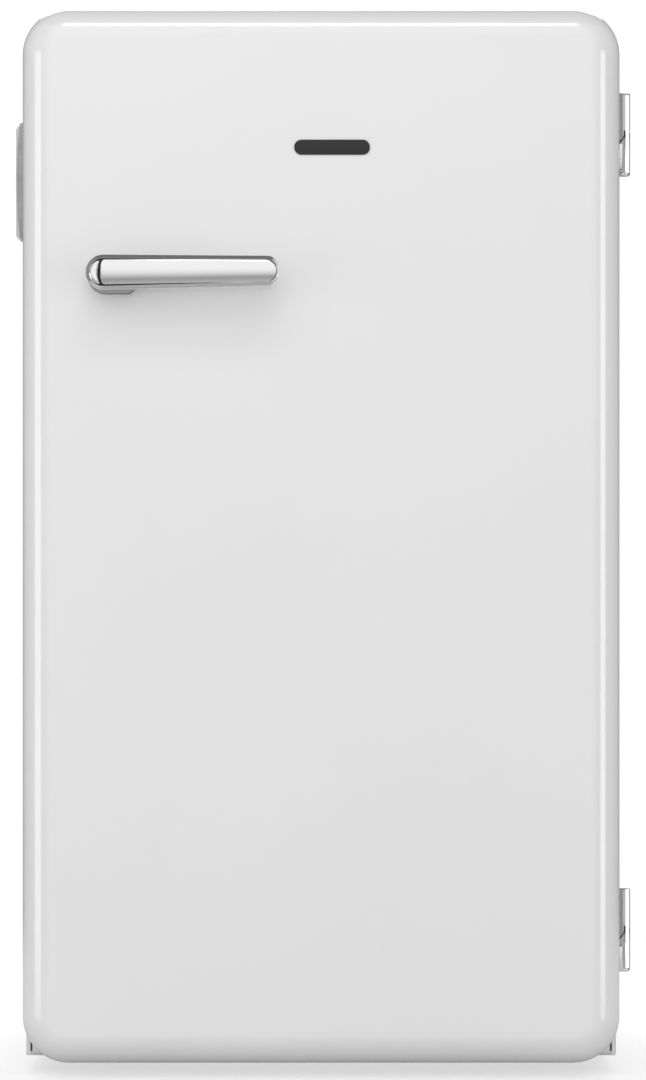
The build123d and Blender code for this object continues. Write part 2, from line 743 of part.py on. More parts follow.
def gland_rod(start_y, end_y, radius):
    x, z = GLAND
    return rod((x, start_y, z), (x, end_y, z), radius)


def gland_space():
    return gland_rod(CABINET_BACK_Y - GLAND_DEEP, CABINET_BACK_Y, GLAND_R)


def cord_gland():
    """Plastic bush in the back panel where the mains cord would enter."""
    body = gland_space() + gland_rod(CABINET_BACK_Y, REARMOST_Y, GLAND_FLANGE_R)
    return body - gland_rod(REARMOST_Y - GLAND_BORE_DEEP, REARMOST_Y + 4, GLAND_BORE)


# Door


def door_block(inset, back_y):
    """The door's rounded body, drawn in by inset on the front and all round."""
    z = (DOOR_LOW + inset, DOOR_TOP - inset)
    body = slab(SIDE - inset, z, (FACE_Y + inset, back_y), DOOR_CORNER - inset)
    return fillet(body.edges().group_by(Axis.Y)[0], DOOR_EDGE - inset)


def door_skin(holes):
    body = door_block(0, DOOR_BACK_Y) - door_block(DOOR_SHEET, DOOR_BACK_Y + 1)
    for hole in holes:
        body = body - hole
    return body


def dyke(grow, y_to):
    """Raised rim on the door's inner face, as a ring; grow thins it from both sides."""
    outer_z = (DYKE_LOW - grow, DYKE_TOP + grow)
    inner_z = (DYKE_LOW + DYKE_WIDE + grow, DYKE_TOP - DYKE_WIDE - grow)
    y = (DOOR_BACK_Y - LINER, y_to + grow)
    outer = (DYKE_X + grow, outer_z, y, 14 + grow)
    inner = (DYKE_X - DYKE_WIDE - grow, inner_z, (y[0] - 1, y[1] + 1), 8)
    return ring(outer, inner)


def door_liner():
    z = (DOOR_LOW + DOOR_SHEET, DOOR_TOP - DOOR_SHEET)
    plate_y = (DOOR_BACK_Y - LINER, DOOR_BACK_Y)
    plate = slab(SIDE - DOOR_SHEET, z, plate_y, DOOR_CORNER - DOOR_SHEET)
    return plate + dyke(0, DYKE_Y) - dyke(-LINER, DYKE_Y)


def door_foam(holes):
    body = door_block(DOOR_SHEET, DOOR_BACK_Y - LINER) + dyke(-LINER, DYKE_Y)
    for hole in holes:
        body = body - hole
    return body


def gasket_ring(edge_in, wide, y):
    """A rectangular ring set in from the door's edge."""
    inner = edge_in + wide
    corner = DOOR_CORNER - edge_in
    outer = (SIDE - edge_in, (DOOR_LOW + edge_in, DOOR_TOP - edge_in), y, corner)
    z = (DOOR_LOW + inner, DOOR_TOP - inner)
    return ring(outer, (SIDE - inner, z, (y[0] - 1, y[1] + 1), max(corner - wide, 3)))


def door_gasket():
    """Soft gasket with a C-shaped section, open towards the cold room."""
    body = gasket_ring(GASKET_IN, GASKET_WIDE, (DOOR_BACK_Y, GASKET_BACK_Y))
    return body - gasket_ring(GASKET_IN + 4.5, GASKET_WIDE, (DOOR_BACK_Y + 2.5, GASKET_BACK_Y - 2.4))


def gasket_magnet():
    return gasket_ring(GASKET_IN + 5.5, 10, (GASKET_BACK_Y - 6.4, GASKET_BACK_Y - 2.4))


def rack(low, front_tall, side_tall):
    """Open-topped door rack with raised ends that carry its rail."""
    x, end, wall = RACK_X, RACK_END, RACK_WALL
    y = (DOOR_BACK_Y, RACK_BACK_Y)
    body = block((-x, x), y, (low, low + side_tall))
    body = fillet(body.edges().filter_by(Axis.Z).group_by(Axis.Y)[-1], end)
    inner_y = (y[0] + wall, y[1] - wall)
    inside = block((wall - x, x - wall), inner_y, (low + wall, low + side_tall + 1))
    inside = fillet(inside.edges().filter_by(Axis.Z).group_by(Axis.Y)[-1], end - wall)
    above_z = (low + front_tall, low + side_tall + 1)
    return body - inside - block((end - x, x - end), (y[0] - 1, y[1] + 1), above_z)


def rack_rails():
    """One chrome bar above each rack's front wall, between the raised ends."""
    x = RACK_X - RACK_WALL
    y = RACK_BACK_Y - 14
    levels = [low + side_tall - RACK_END for low, _, side_tall in RACKS.values()]
    return [rod((-x, y, z), (x, y, z), 2.5) for z in levels]


# Handle


def handle_bar(y):
    """The grip's tapered outline seen from the front, as a bar between two depths."""
    front = Plane(origin=(0, y[0], 0), x_dir=(1, 0, 0), z_dir=(0, -1, 0))
    corners = [
        (HANDLE_LEFT, HANDLE_LEFT_Z[0]),
        (HANDLE_RIGHT, HANDLE_RIGHT_Z[0]),
        (HANDLE_RIGHT, HANDLE_RIGHT_Z[1]),
        (HANDLE_LEFT, HANDLE_LEFT_Z[1]),
    ]
    outline = make_face(Polyline(*corners, close=True))
    outline = fillet(outline.vertices().group_by(Axis.X)[0], HANDLE_LEFT_CORNER)
    outline = fillet(outline.vertices().group_by(Axis.X)[-1], HANDLE_RIGHT_CORNER)
    return extrude(front * outline, amount=y[0] - y[1])


def handle_front():
    """Front half of the grip before it is cut into end cap and cover."""
    body = handle_bar((HANDLE_FRONT_Y, HANDLE_SPLIT_Y))
    return fillet(body.edges().group_by(Axis.Y)[0], 5)


def handle_arm():
    """Rear half of the grip, carried by the base at its left end."""
    body = handle_bar((HANDLE_SPLIT_Y, HANDLE_BACK_Y))
    return fillet(body.edges().group_by(Axis.Y)[-1], 3)


def handle_cover():
    return handle_front() & block((COVER_EDGE, 0), *HANDLE_SPACE)


def handle_end_cap():
    return handle_front() & block((-SIDE, CAP_EDGE), *HANDLE_SPACE)


def handle_base(holes):
    body = block(BASE_X, (HANDLE_BACK_Y, FACE_Y), BASE_Z)
    body = fillet(body.edges().filter_by(Axis.Y).group_by(Axis.X)[0], 13.5)
    body = fillet(body.edges().filter_by(Axis.Y).group_by(Axis.X)[-1], 4)
    for hole in holes:
        body = body - hole
    return body


def badge():
    """Plain rounded badge without any mark."""
    body = slab(BADGE_HALF, BADGE_Z, (FACE_Y - BADGE_DEEP, FACE_Y), 5.9, x=BADGE_X)
    return fillet(body.edges().group_by(Axis.Y)[0], 0.5)


# Hinges


def slant_block(low, gap):
    """Everything below the slanted joint of a hinge, in front of its axis."""
    front = Plane(origin=(0, HINGE_Y, 0), x_dir=(1, 0, 0), z_dir=(0, -1, 0))
    left, right = HINGE_X - BARREL_R, HINGE_X + BARREL_R
    corners = [
        (left, low),
        (right, low),
        (right, low + SLANT_HIGH + gap),
        (left, low + SLANT_LOW + gap),
    ]
    return extrude(front * make_face(Polyline(*corners, close=True)), amount=BARREL_R + 1)


def barrel(low, z, radius=BARREL_R):
    return rod((HINGE_X, HINGE_Y, low + z[0]), (HINGE_X, HINGE_Y, low + z[1]), radius)


def door_hinge_half(low, holes):
    """Lower half: leaf on the door's side, barrel with the slanted top."""
    start = CAP_TALL + WASHER + 0.05
    full = barrel(low, (start, SLANT_LOW))
    front = barrel(low, (SLANT_LOW, SLANT_HIGH)) & slant_block(low, 0)
    leaf_y = (DOOR_BACK_Y - DOOR_LEAF_WIDE, DOOR_BACK_Y)
    leaf = block((SIDE, SIDE + LEAF), leaf_y, (low + start, low + SLANT_LOW))
    neck_y = (DOOR_BACK_Y - NECK, HINGE_Y)
    neck = block((SIDE, HINGE_X), neck_y, (low + start, low + SLANT_LOW))
    body = full + leaf + neck + front
    body = body - barrel(low, (-1, SLANT_HIGH + 1), PIN_R + PIVOT_GAP)
    for hole in holes:
        body = body - hole
    return body


def cabinet_hinge_half(low, holes):
    """Upper half: leaf on the cabinet's side, barrel with the slanted underside."""
    start = SLANT_HIGH + SLANT_GAP
    full = barrel(low, (start, HINGE_TALL))
    full = chamfer(full.edges().group_by(Axis.Z)[-1], 1.2)
    in_front = block((SIDE, HINGE_X + BARREL_R), (HINGE_Y - 9, HINGE_Y), (low, low + start))
    front = (barrel(low, (SLANT_LOW, start)) & in_front) - slant_block(low, SLANT_GAP)
    leaf_y = (CABINET_FRONT_Y, CABINET_FRONT_Y + CABINET_LEAF_WIDE)
    leaf_z = (low + start, low + LEAF_TOP)
    leaf = block((SIDE, SIDE + LEAF), leaf_y, leaf_z)
    neck = block((SIDE, HINGE_X), (HINGE_Y, CABINET_FRONT_Y + NECK), leaf_z)
    body = full + leaf + neck + front
    body = body - barrel(low, (0, PIN_TOP), PIN_R)
    for hole in holes:
        body = body - hole
    return body


def hinge_pin(low):
    head = barrel(low, (0, CAP_TALL))
    head = chamfer(head.edges().group_by(Axis.Z)[0], 1.2)
    return head + barrel(low, (0, PIN_TOP), PIN_R)


def hinge_washer(low):
    z = (CAP_TALL, CAP_TALL + WASHER)
    return barrel(low, z, BARREL_R - 0.2) - barrel(low, (0, 5), PIN_R + PIVOT_GAP)


def save_hinges(upper, lower):
    halves = [cabinet_hinge_half(low, upper) for low in HINGE_LOWS]
    save("hinge_cabinet_halves", *halves)
    save("hinge_door_halves", *[door_hinge_half(low, lower) for low in HINGE_LOWS])
    save("hinge_pins", *[hinge_pin(low) for low in HINGE_LOWS])
    save("hinge_washers", *[hinge_washer(low) for low in HINGE_LOWS])
    save("hinge_cabinet_screws", *upper)
    save("hinge_door_screws", *lower)


def save_cabinet(side_screws):
    rear = back_screws()
    coils = [condenser_coil(side, wall=0.0) for side in (-1, 1)]
    lines = [drain_tube(hollow=False), suction_tube(wall=0.0), capillary_tube()]
    sockets = socket_space()
    save("cabinet_shell", cabinet_shell(side_screws))
    save("base_pan", base_pan(coils + lines + sockets))
    save("back_panel", back_panel(rear + [gland_space()]))
    save("cabinet_foam", cabinet_foam(side_screws + rear + coils + lines + sockets + [gland_space()]))
    save("inner_liner", inner_liner(lines))
    save("back_screws", *rear)
    save("condenser_coils", *[condenser_coil(side) for side in (-1, 1)])


def save_cold_side():
    save("shelf_glass", *[shelf_glass(level) for level in SHELF_LEVELS])
    save("crisper_cover", shelf_glass(COVER_LEVEL))
    trims = [trim for level in (*SHELF_LEVELS, COVER_LEVEL) for trim in shelf_trims(level)]
    save("shelf_trims", *trims)
    save("crisper_drawer", crisper_drawer())
    save("freezer_box", freezer_box())
    save("freezer_frame", freezer_frame())
    save("freezer_flap", freezer_flap())
    save("drip_tray", drip_tray())
    save("thermostat_housing", thermostat_housing())
    save("thermostat_body", thermostat_body())
    save("thermostat_knob", thermostat_knob())


def save_bay():
    save("compressor", compressor())
    save("compressor_bracket", compressor_bracket())
    save("compressor_mounts", *compressor_mounts())
    save("mount_bolts", *mount_bolts())
    save("bay_plate", bay_plate())
    save("relay_cover", relay_cover())
    save("evaporation_tray", evaporation_tray())
    save("drain_tube", drain_tube())
    save("suction_tube", suction_tube())
    save("capillary_tube", capillary_tube())
    save("discharge_tube", discharge_tube())
    save("link_tubes", *link_tubes())
    save("filter_drier", filter_drier())
    save("cord_gland", cord_gland())
    save("rear_feet", *rear_feet())
    save("foot_sockets", *foot_sockets())
    save("foot_left", levelling_foot(-FOOT_X))
    save("foot_right", levelling_foot(FOOT_X))


def save_door(leaf_screws):
    fixings = handle_screws()
    save("door_skin", door_skin(leaf_screws + fixings))
    save("door_foam", door_foam(leaf_screws + fixings))
    save("door_liner", door_liner())
    save("door_gasket", door_gasket())
    save("gasket_magnet", gasket_magnet())
    for node, sizes in RACKS.items():
        save(node, rack(*sizes))
    save("rack_rails", *rack_rails())
    save("handle_base", handle_base(fixings))
    save("handle_arm", handle_arm())
    save("handle_cover", handle_cover())
    save("handle_end_cap", handle_end_cap())
    save("handle_screws", *fixings)
    save("badge", badge())


def main():
    os.makedirs("parts", exist_ok=True)
    pairs = [hinge_screws(low) for low in HINGE_LOWS]
    upper = [one for pair in pairs for one in pair[0]]
    lower = [one for pair in pairs for one in pair[1]]
    opener = opener_screws()
    save_hinges(upper, lower)
    save_cabinet(upper + opener)
    save_cold_side()
    save_bay()
    save_door(lower)
    save("opener_plate", opener_plate(opener))
    save("opener_housing", opener_housing())
    save("opener_screws", *opener)


main()
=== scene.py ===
import json
import math

import bmesh
import bpy
from mathutils import Matrix, Vector

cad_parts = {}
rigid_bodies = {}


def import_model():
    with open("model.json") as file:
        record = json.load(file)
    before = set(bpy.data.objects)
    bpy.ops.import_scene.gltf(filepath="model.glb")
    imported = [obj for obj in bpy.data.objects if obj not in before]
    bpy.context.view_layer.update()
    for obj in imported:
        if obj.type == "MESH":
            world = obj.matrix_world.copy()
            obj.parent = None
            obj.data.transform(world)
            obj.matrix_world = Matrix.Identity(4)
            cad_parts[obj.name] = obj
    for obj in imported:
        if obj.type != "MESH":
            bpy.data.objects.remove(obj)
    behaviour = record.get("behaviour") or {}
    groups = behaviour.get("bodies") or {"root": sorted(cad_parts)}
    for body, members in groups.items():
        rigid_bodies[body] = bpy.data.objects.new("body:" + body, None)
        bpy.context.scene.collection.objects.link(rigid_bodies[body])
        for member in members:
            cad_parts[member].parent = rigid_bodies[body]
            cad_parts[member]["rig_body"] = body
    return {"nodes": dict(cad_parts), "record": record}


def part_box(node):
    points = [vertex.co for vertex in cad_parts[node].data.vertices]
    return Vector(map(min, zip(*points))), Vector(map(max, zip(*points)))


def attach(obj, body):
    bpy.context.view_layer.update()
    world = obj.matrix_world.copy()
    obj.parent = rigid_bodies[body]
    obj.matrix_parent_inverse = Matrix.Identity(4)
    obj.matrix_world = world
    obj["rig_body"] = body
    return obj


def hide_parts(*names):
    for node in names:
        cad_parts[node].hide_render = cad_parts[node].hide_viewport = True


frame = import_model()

# Retro mini fridge: materials, detailed pieces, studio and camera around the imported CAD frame.
# Metres, +X right, +Y into the fridge, +Z up. Pieces are drawn in millimetres and scaled once.

NODES = frame["nodes"]
SLOTS = {part["node"]: part["material_slot"] for part in frame["record"]["subparts"]}
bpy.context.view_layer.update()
MM = 0.001
SHARP_FROM = 35.0  # edges that turn by more degrees count as sharp


# Material helpers


def shader(name):
    """A new material with its node tree and its Principled shader."""
    mat = bpy.data.materials.new(name)
    mat.use_nodes = True
    tree = mat.node_tree
    return mat, tree, tree.nodes["Principled BSDF"]


def node(tree, kind, inputs=None, **settings):
    """A node of that kind, with settings as attributes and inputs by socket name."""
    made = tree.nodes.new(kind)
    for key, value in settings.items():
        setattr(made, key, value)
    for key, value in (inputs or {}).items():
        made.inputs[key].default_value = value
    return made


def place(tree, stretch=(1, 1, 1)):
    """Object coordinates, in metres, stretched along each axis."""
    where = node(tree, "ShaderNodeTexCoord")
    scaled = node(tree, "ShaderNodeMapping", {"Scale": stretch})
    tree.links.new(where.outputs["Object"], scaled.inputs["Vector"])
    return scaled.outputs["Vector"]


def noise(tree, scale, detail=3.0, stretch=(1, 1, 1)):
    """A noise value over the object."""
    made = node(tree, "ShaderNodeTexNoise", {"Scale": scale, "Detail": detail})
    tree.links.new(place(tree, stretch), made.inputs["Vector"])
    return made.outputs["Fac"]


def spread(tree, value, low, high, start=0.3, end=0.7):
    """Maps a noise value from start..end to low..high."""
    limits = {"From Min": start, "From Max": end, "To Min": low, "To Max": high}
    made = node(tree, "ShaderNodeMapRange", limits)
    tree.links.new(value, made.inputs["Value"])
    return made.outputs["Result"]


def two_colors(tree, value, first, second, start=0.3, end=0.7):
    """A colour that goes from first to second as value goes from start to end."""
    made = node(tree, "ShaderNodeMix", data_type="RGBA")
    made.inputs["A"].default_value = (*first, 1)
    made.inputs["B"].default_value = (*second, 1)
    tree.links.new(spread(tree, value, 0, 1, start, end), made.inputs["Factor"])
    return made.outputs["Result"]


def bumps(tree, bsdf, layers):
    """Chained bumps, each (height value, depth in metres, strength)."""
    normal = None
    for height, depth, strength in layers:
        made = node(tree, "ShaderNodeBump", {"Distance": depth, "Strength": strength})
        tree.links.new(height, made.inputs["Height"])
        if normal is not None:
            tree.links.new(normal, made.inputs["Normal"])
        normal = made.outputs["Normal"]
    tree.links.new(normal, bsdf.inputs["Normal"])


def worn_edges(tree, color, edge_color):
    """Mixes edge_color in along the sharp convex edges."""
    geometry = node(tree, "ShaderNodeNewGeometry")
    made = node(tree, "ShaderNodeMix", data_type="RGBA")
    made.inputs["B"].default_value = (*edge_color, 1)
    tree.links.new(color, made.inputs["A"])
    sharpness = spread(tree, geometry.outputs["Pointiness"], 0, 1, 0.53, 0.62)
    tree.links.new(sharpness, made.inputs["Factor"])
    return made.outputs["Result"]


def painted(name, light, dark, rough, coat=0.0, peel=0.0, grain=60.0):
    """Painted or moulded surface: slight tint changes, uneven gloss and a fine surface texture."""
    mat, tree, bsdf = shader(name)
    color = two_colors(tree, noise(tree, 5.0, 4.0), light, dark)
    tree.links.new(color, bsdf.inputs["Base Color"])
    gloss = spread(tree, noise(tree, 18.0, 5.0), rough[0], rough[1])
    tree.links.new(gloss, bsdf.inputs["Roughness"])
    bsdf.inputs["Coat Weight"].default_value = coat
    bsdf.inputs["Coat Roughness"].default_value = 0.1
    if peel:
        bumps(tree, bsdf, [(noise(tree, grain, 2.0), 0.001, peel)])
    return mat


def metal(name, light, dark, rough, stretch=(1, 1, 1), grain=80.0, depth=0.05, wear=None):
    """Bare or plated metal with streaks, smudges of roughness and, if asked, worn edges."""
    mat, tree, bsdf = shader(name)
    color = two_colors(tree, noise(tree, 9.0, 5.0, stretch), light, dark)
    if wear:
        color = worn_edges(tree, color, wear)
    tree.links.new(color, bsdf.inputs["Base Color"])
    bsdf.inputs["Metallic"].default_value = 1.0
    gloss = spread(tree, noise(tree, 26.0, 6.0, stretch), rough[0], rough[1])
    tree.links.new(gloss, bsdf.inputs["Roughness"])
    bumps(tree, bsdf, [(noise(tree, grain, 3.0, stretch), 0.0005, depth)])
    return mat


# Materials by the record's slots


def white_enamel():
    """Glossy stove enamel under a clear coat."""
    light, dark = (0.86, 0.86, 0.86), (0.84, 0.84, 0.843)
    mat = painted("white_enamel", light, dark, (0.16, 0.22), coat=1.0, peel=0.006)
    bsdf = mat.node_tree.nodes["Principled BSDF"]
    bsdf.inputs["Coat IOR"].default_value = 1.6
    return mat


def chrome():
    """Bright plating with faint smudges."""
    light, dark = (0.84, 0.84, 0.85), (0.80, 0.80, 0.81)
    return metal("chrome", light, dark, (0.03, 0.08), grain=40.0, depth=0.003)


def galvanised():
    """Zinc-coated sheet with its large crystal pattern."""
    mat, tree, bsdf = shader("galvanised")
    cells = node(tree, "ShaderNodeTexVoronoi", {"Scale": 230.0})
    tree.links.new(place(tree), cells.inputs["Vector"])
    grey = node(tree, "ShaderNodeSeparateColor")
    tree.links.new(cells.outputs["Color"], grey.inputs["Color"])
    flake = grey.outputs["Red"]
    color = two_colors(tree, flake, (0.56, 0.58, 0.60), (0.65, 0.67, 0.69), 0, 1)
    tree.links.new(color, bsdf.inputs["Base Color"])
    tree.links.new(spread(tree, flake, 0.34, 0.46, 0, 1), bsdf.inputs["Roughness"])
    bsdf.inputs["Metallic"].default_value = 1.0
    bumps(tree, bsdf, [(noise(tree, 220.0, 2.0), 0.0003, 0.1)])
    return mat


def clear(name, light, dark, rough):
    """See-through moulded plastic or glass with faint haze."""
    mat, tree, bsdf = shader(name)
    color = two_colors(tree, noise(tree, 14.0), light, dark)
    tree.links.new(color, bsdf.inputs["Base Color"])
    gloss = spread(tree, noise(tree, 60.0, 5.0), rough[0], rough[1])
    tree.links.new(gloss, bsdf.inputs["Roughness"])
    bsdf.inputs["Transmission Weight"].default_value = 0.9
    bsdf.inputs["IOR"].default_value = 1.3
    bumps(tree, bsdf, [(noise(tree, 30.0, 2.0), 0.0004, 0.05)])
    return mat


def foam():
    """Cut face of yellowish rigid foam."""
    mat, tree, bsdf = shader("foam")
    fine = noise(tree, 240.0, 6.0)
    color = two_colors(tree, fine, (0.86, 0.76, 0.50), (0.72, 0.60, 0.36))
    tree.links.new(color, bsdf.inputs["Base Color"])
    tree.links.new(spread(tree, fine, 0.8, 0.95), bsdf.inputs["Roughness"])
    bumps(tree, bsdf, [(fine, 0.001, 0.5)])
    return mat


def screw_steel():
    """Plated screws, brighter along their edges."""
    light, dark = (0.62, 0.62, 0.64), (0.50, 0.50, 0.53)
    return metal("screw_steel", light, dark, (0.22, 0.38), wear=(0.8, 0.8, 0.8))


# The other slots. Each row has a light colour, a dark colour and a range of roughness, then for a
# paint its coat and the strength and scale of its texture, or for a metal the stretch of its streaks.
PAINTS = {
    "liner_white": ((0.84, 0.86, 0.87), (0.825, 0.847, 0.858), (0.28, 0.36), 0.1, 0.03),
    "trim_white": ((0.80, 0.80, 0.79), (0.77, 0.77, 0.76), (0.28, 0.40), 0.1, 0.03),
    "gasket_white": ((0.72, 0.72, 0.71), (0.66, 0.66, 0.65), (0.5, 0.65), 0.0, 0.06, 160.0),
    "magnet": ((0.09, 0.08, 0.08), (0.05, 0.05, 0.05), (0.5, 0.7), 0.0, 0.1),
    "black_steel": ((0.02, 0.02, 0.02), (0.035, 0.034, 0.033), (0.25, 0.42), 0.3, 0.05),
    "black_plastic": ((0.03, 0.03, 0.03), (0.045, 0.045, 0.044), (0.45, 0.6), 0.0, 0.12, 300.0),
    "black_rubber": ((0.02, 0.02, 0.02), (0.035, 0.034, 0.033), (0.6, 0.8), 0.0, 0.1),
    "nylon": ((0.70, 0.68, 0.60), (0.64, 0.62, 0.54), (0.4, 0.5), 0.0, 0.05),
    "knob_grey": ((0.42, 0.45, 0.49), (0.38, 0.41, 0.45), (0.35, 0.5), 0.0, 0.1, 300.0),
    "badge_black": ((0.010, 0.010, 0.010), (0.016, 0.016, 0.016), (0.3, 0.4), 0.0, 0.02),
}
METALS = {
    "satin_steel": ((0.46, 0.46, 0.47), (0.38, 0.38, 0.39), (0.26, 0.40), (1, 1, 12)),
    "aluminium": ((0.78, 0.79, 0.80), (0.68, 0.69, 0.71), (0.28, 0.42), (1, 14, 1)),
    "copper": ((0.62, 0.31, 0.18), (0.45, 0.22, 0.13), (0.25, 0.45)),
    "control_metal": ((0.50, 0.50, 0.51), (0.42, 0.42, 0.43), (0.3, 0.45)),
}
CLEARS = {
    "frosted": ((0.80, 0.90, 0.95), (0.74, 0.86, 0.92), (0.35, 0.5)),
    "clear_plastic": ((0.93, 0.97, 0.98), (0.88, 0.94, 0.96), (0.04, 0.10)),
    "glass": ((0.90, 0.97, 0.95), (0.85, 0.94, 0.91), (0.01, 0.04)),
}


def make_materials():
    """One material for each material slot of the record."""
    made = {
        "white_enamel": white_enamel(),
        "chrome": chrome(),
        "galvanised": galvanised(),
        "foam": foam(),
        "screw_steel": screw_steel(),
    }
    for kind, slots in ((painted, PAINTS), (metal, METALS), (clear, CLEARS)):
        for name, values in slots.items():
            made[name] = kind(name, *values)
    return made


MATERIALS = make_materials()


def paint_nodes():
    """Gives every CAD node the material of its slot."""
    for name, obj in NODES.items():
        obj.data.materials.clear()
        obj.data.materials.append(MATERIALS[SLOTS[name]])


# Drawing helpers, in millimetres


def box(name):
    """Lowest and highest corners of a CAD node."""
    low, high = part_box(name)
    return low / MM, high / MM


def piece(name, bm, body, slot, *stands_for, crease=SHARP_FROM):
    """Scales a drawing to metres and makes it a piece that rides on a body."""
    bmesh.ops.recalc_face_normals(bm, faces=bm.faces)
    bmesh.ops.scale(bm, vec=(MM, MM, MM), verts=bm.verts)
    mesh = bpy.data.meshes.new(name)
    bm.to_mesh(mesh)
    bm.free()
    if "custom_normal" in mesh.attributes:
        mesh.attributes.remove(mesh.attributes["custom_normal"])
    mesh.shade_smooth()
    mesh.set_sharp_from_angle(angle=math.radians(crease))
    mesh.materials.clear()
    mesh.materials.append(MATERIALS[slot])
    obj = bpy.data.objects.new(name, mesh)
    bpy.context.scene.collection.objects.link(obj)
    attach(obj, body)
    if stands_for:
        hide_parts(*stands_for)


def sharp_edges(bm, shortest):
    """Edges between two faces that meet at a clear angle."""
    limit = math.radians(SHARP_FROM)
    found = [e for e in bm.edges if len(e.link_faces) == 2 and e.calc_length() >= shortest]
    return [e for e in found if e.calc_face_angle() > limit]


def round_edges(bm, width, segments=2, shortest=0.0):
    """Bevels the sharp edges that are not shorter than asked."""
    bmesh.ops.bevel(
        bm,
        geom=sharp_edges(bm, shortest),
        offset=width,
        offset_type="OFFSET",
        segments=segments,
        profile=0.5,
        affect="EDGES",
        clamp_overlap=False,
    )


def refined(name, width):
    """A copy of a CAD node with clean faces and softly rounded edges."""
    bm = bmesh.new()
    bm.from_mesh(NODES[name].data)
    bmesh.ops.scale(bm, vec=(1 / MM, 1 / MM, 1 / MM), verts=bm.verts)
    bmesh.ops.remove_doubles(bm, verts=bm.verts, dist=0.001)
    bmesh.ops.dissolve_limit(bm, angle_limit=math.radians(1), verts=bm.verts, edges=bm.edges)
    round_edges(bm, width, shortest=width)
    piece(name + "_finished", bm, NODES[name]["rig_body"], SLOTS[name], name)


def loop(half_x, z, corner, y, steps):
    """Points around an upright rectangle with round corners, at depth y."""
    middle = (z[0] + z[1]) / 2
    reach_x, reach_z = half_x - corner, (z[1] - z[0]) / 2 - corner
    points = []
    for quarter, (side, up) in enumerate([(1, 1), (-1, 1), (-1, -1), (1, -1)]):
        for step in range(steps + 1):
            turn = math.pi / 2 * (quarter + step / steps)
            across = side * reach_x + corner * math.cos(turn)
            points.append((across, y, middle + up * reach_z + corner * math.sin(turn)))
    return points


def rounded_polygon(corners, radii, steps=10):
    """Points around a convex polygon, anticlockwise, with each corner turned into an arc."""
    points = []
    for i, (corner, radius) in enumerate(zip(corners, radii)):
        here = Vector(corner)
        before = (Vector(corners[i - 1]) - here).normalized()
        after = (Vector(corners[(i + 1) % len(corners)]) - here).normalized()
        half = before.angle(after) / 2
        centre = here + (before + after).normalized() * radius / math.sin(half)
        start = here + before * radius / math.tan(half) - centre
        sweep = math.pi - 2 * half
        for step in range(steps + 1):
            turn = Matrix.Rotation(sweep * step / steps, 2)
            points.append(centre + turn @ start)
    return points


def drawn_in(corners, insets):
    """A convex anticlockwise polygon with each side, from its first corner on, moved inwards."""
    moved = []
    for i, corner in enumerate(corners):
        here = Vector(corner)
        before = (here - Vector(corners[i - 1])).normalized()
        after = (Vector(corners[(i + 1) % len(corners)]) - here).normalized()
        turn = before.x * after.y - before.y * after.x
        moved.append(here + (after * insets[i - 1] - before * insets[i]) / turn)
    return moved


def skin_loops(bm, loops, cap_first=False, cap_last=False, closed=False):
    """Skins loops of equally many points; closed also joins the last loop to the first."""
    rings = [[bm.verts.new(point) for point in points] for points in loops]
    pairs = list(zip(rings, rings[1:]))
    if closed:
        pairs.append((rings[-1], rings[0]))
    for one, two in pairs:
        for i in range(len(one)):
            j = (i + 1) % len(one)
            bm.faces.new((one[i], one[j], two[j], two[i]))
    if cap_first:
        bm.faces.new(rings[0])
    if cap_last:
        bm.faces.new(rings[-1])
    return rings


def arc(start, end, steps):
    """Angles in radians from start to end, given in degrees."""
    return [math.radians(start + (end - start) * i / steps) for i in range(steps + 1)]


# Door

DOOR_CORNER = 37.0
DOOR_EDGE = 24.0  # rounding of the front edge
DOOR_SHEET = 1.0
LINER_SHEET = 1.5
LINER_CORNER = 36.0
LINER_RIM_X = 180.5  # half the width over the raised rim
LINER_RIM_Z = (72.0, 788.0)
LINER_RIM_WIDE = 26.0
LINER_RIM_CORNERS = (16.0, 14.0, 9.0, 8.0)  # from the rim's outside to its inside
LINER_ROUNDS = (4.0, 4.0, 1.5)  # at the rim's outer foot, on its top and at its inner foot


def door_skin():
    """Pressed steel skin: outside and inside surfaces that meet at the back edge."""
    low, high = box("door_skin")

    def ring(inset, y):
        return loop(high.x - inset, (low.z + inset, high.z - inset), DOOR_CORNER - inset, y, steps=16)

    def surface(inset, radius):
        rings = [ring(inset, high.y)]
        for turn in arc(0, 90, 24):
            drawn = inset + radius * (1 - math.cos(turn))
            rings.append(ring(drawn, low.y + inset + radius * (1 - math.sin(turn))))
        return rings

    inside = surface(DOOR_SHEET, DOOR_EDGE - DOOR_SHEET)
    bm = bmesh.new()
    skin_loops(bm, inside[::-1] + surface(0.0, DOOR_EDGE), cap_first=True, cap_last=True)
    piece("door_skin_pressed", bm, "door", "white_enamel", "door_skin")


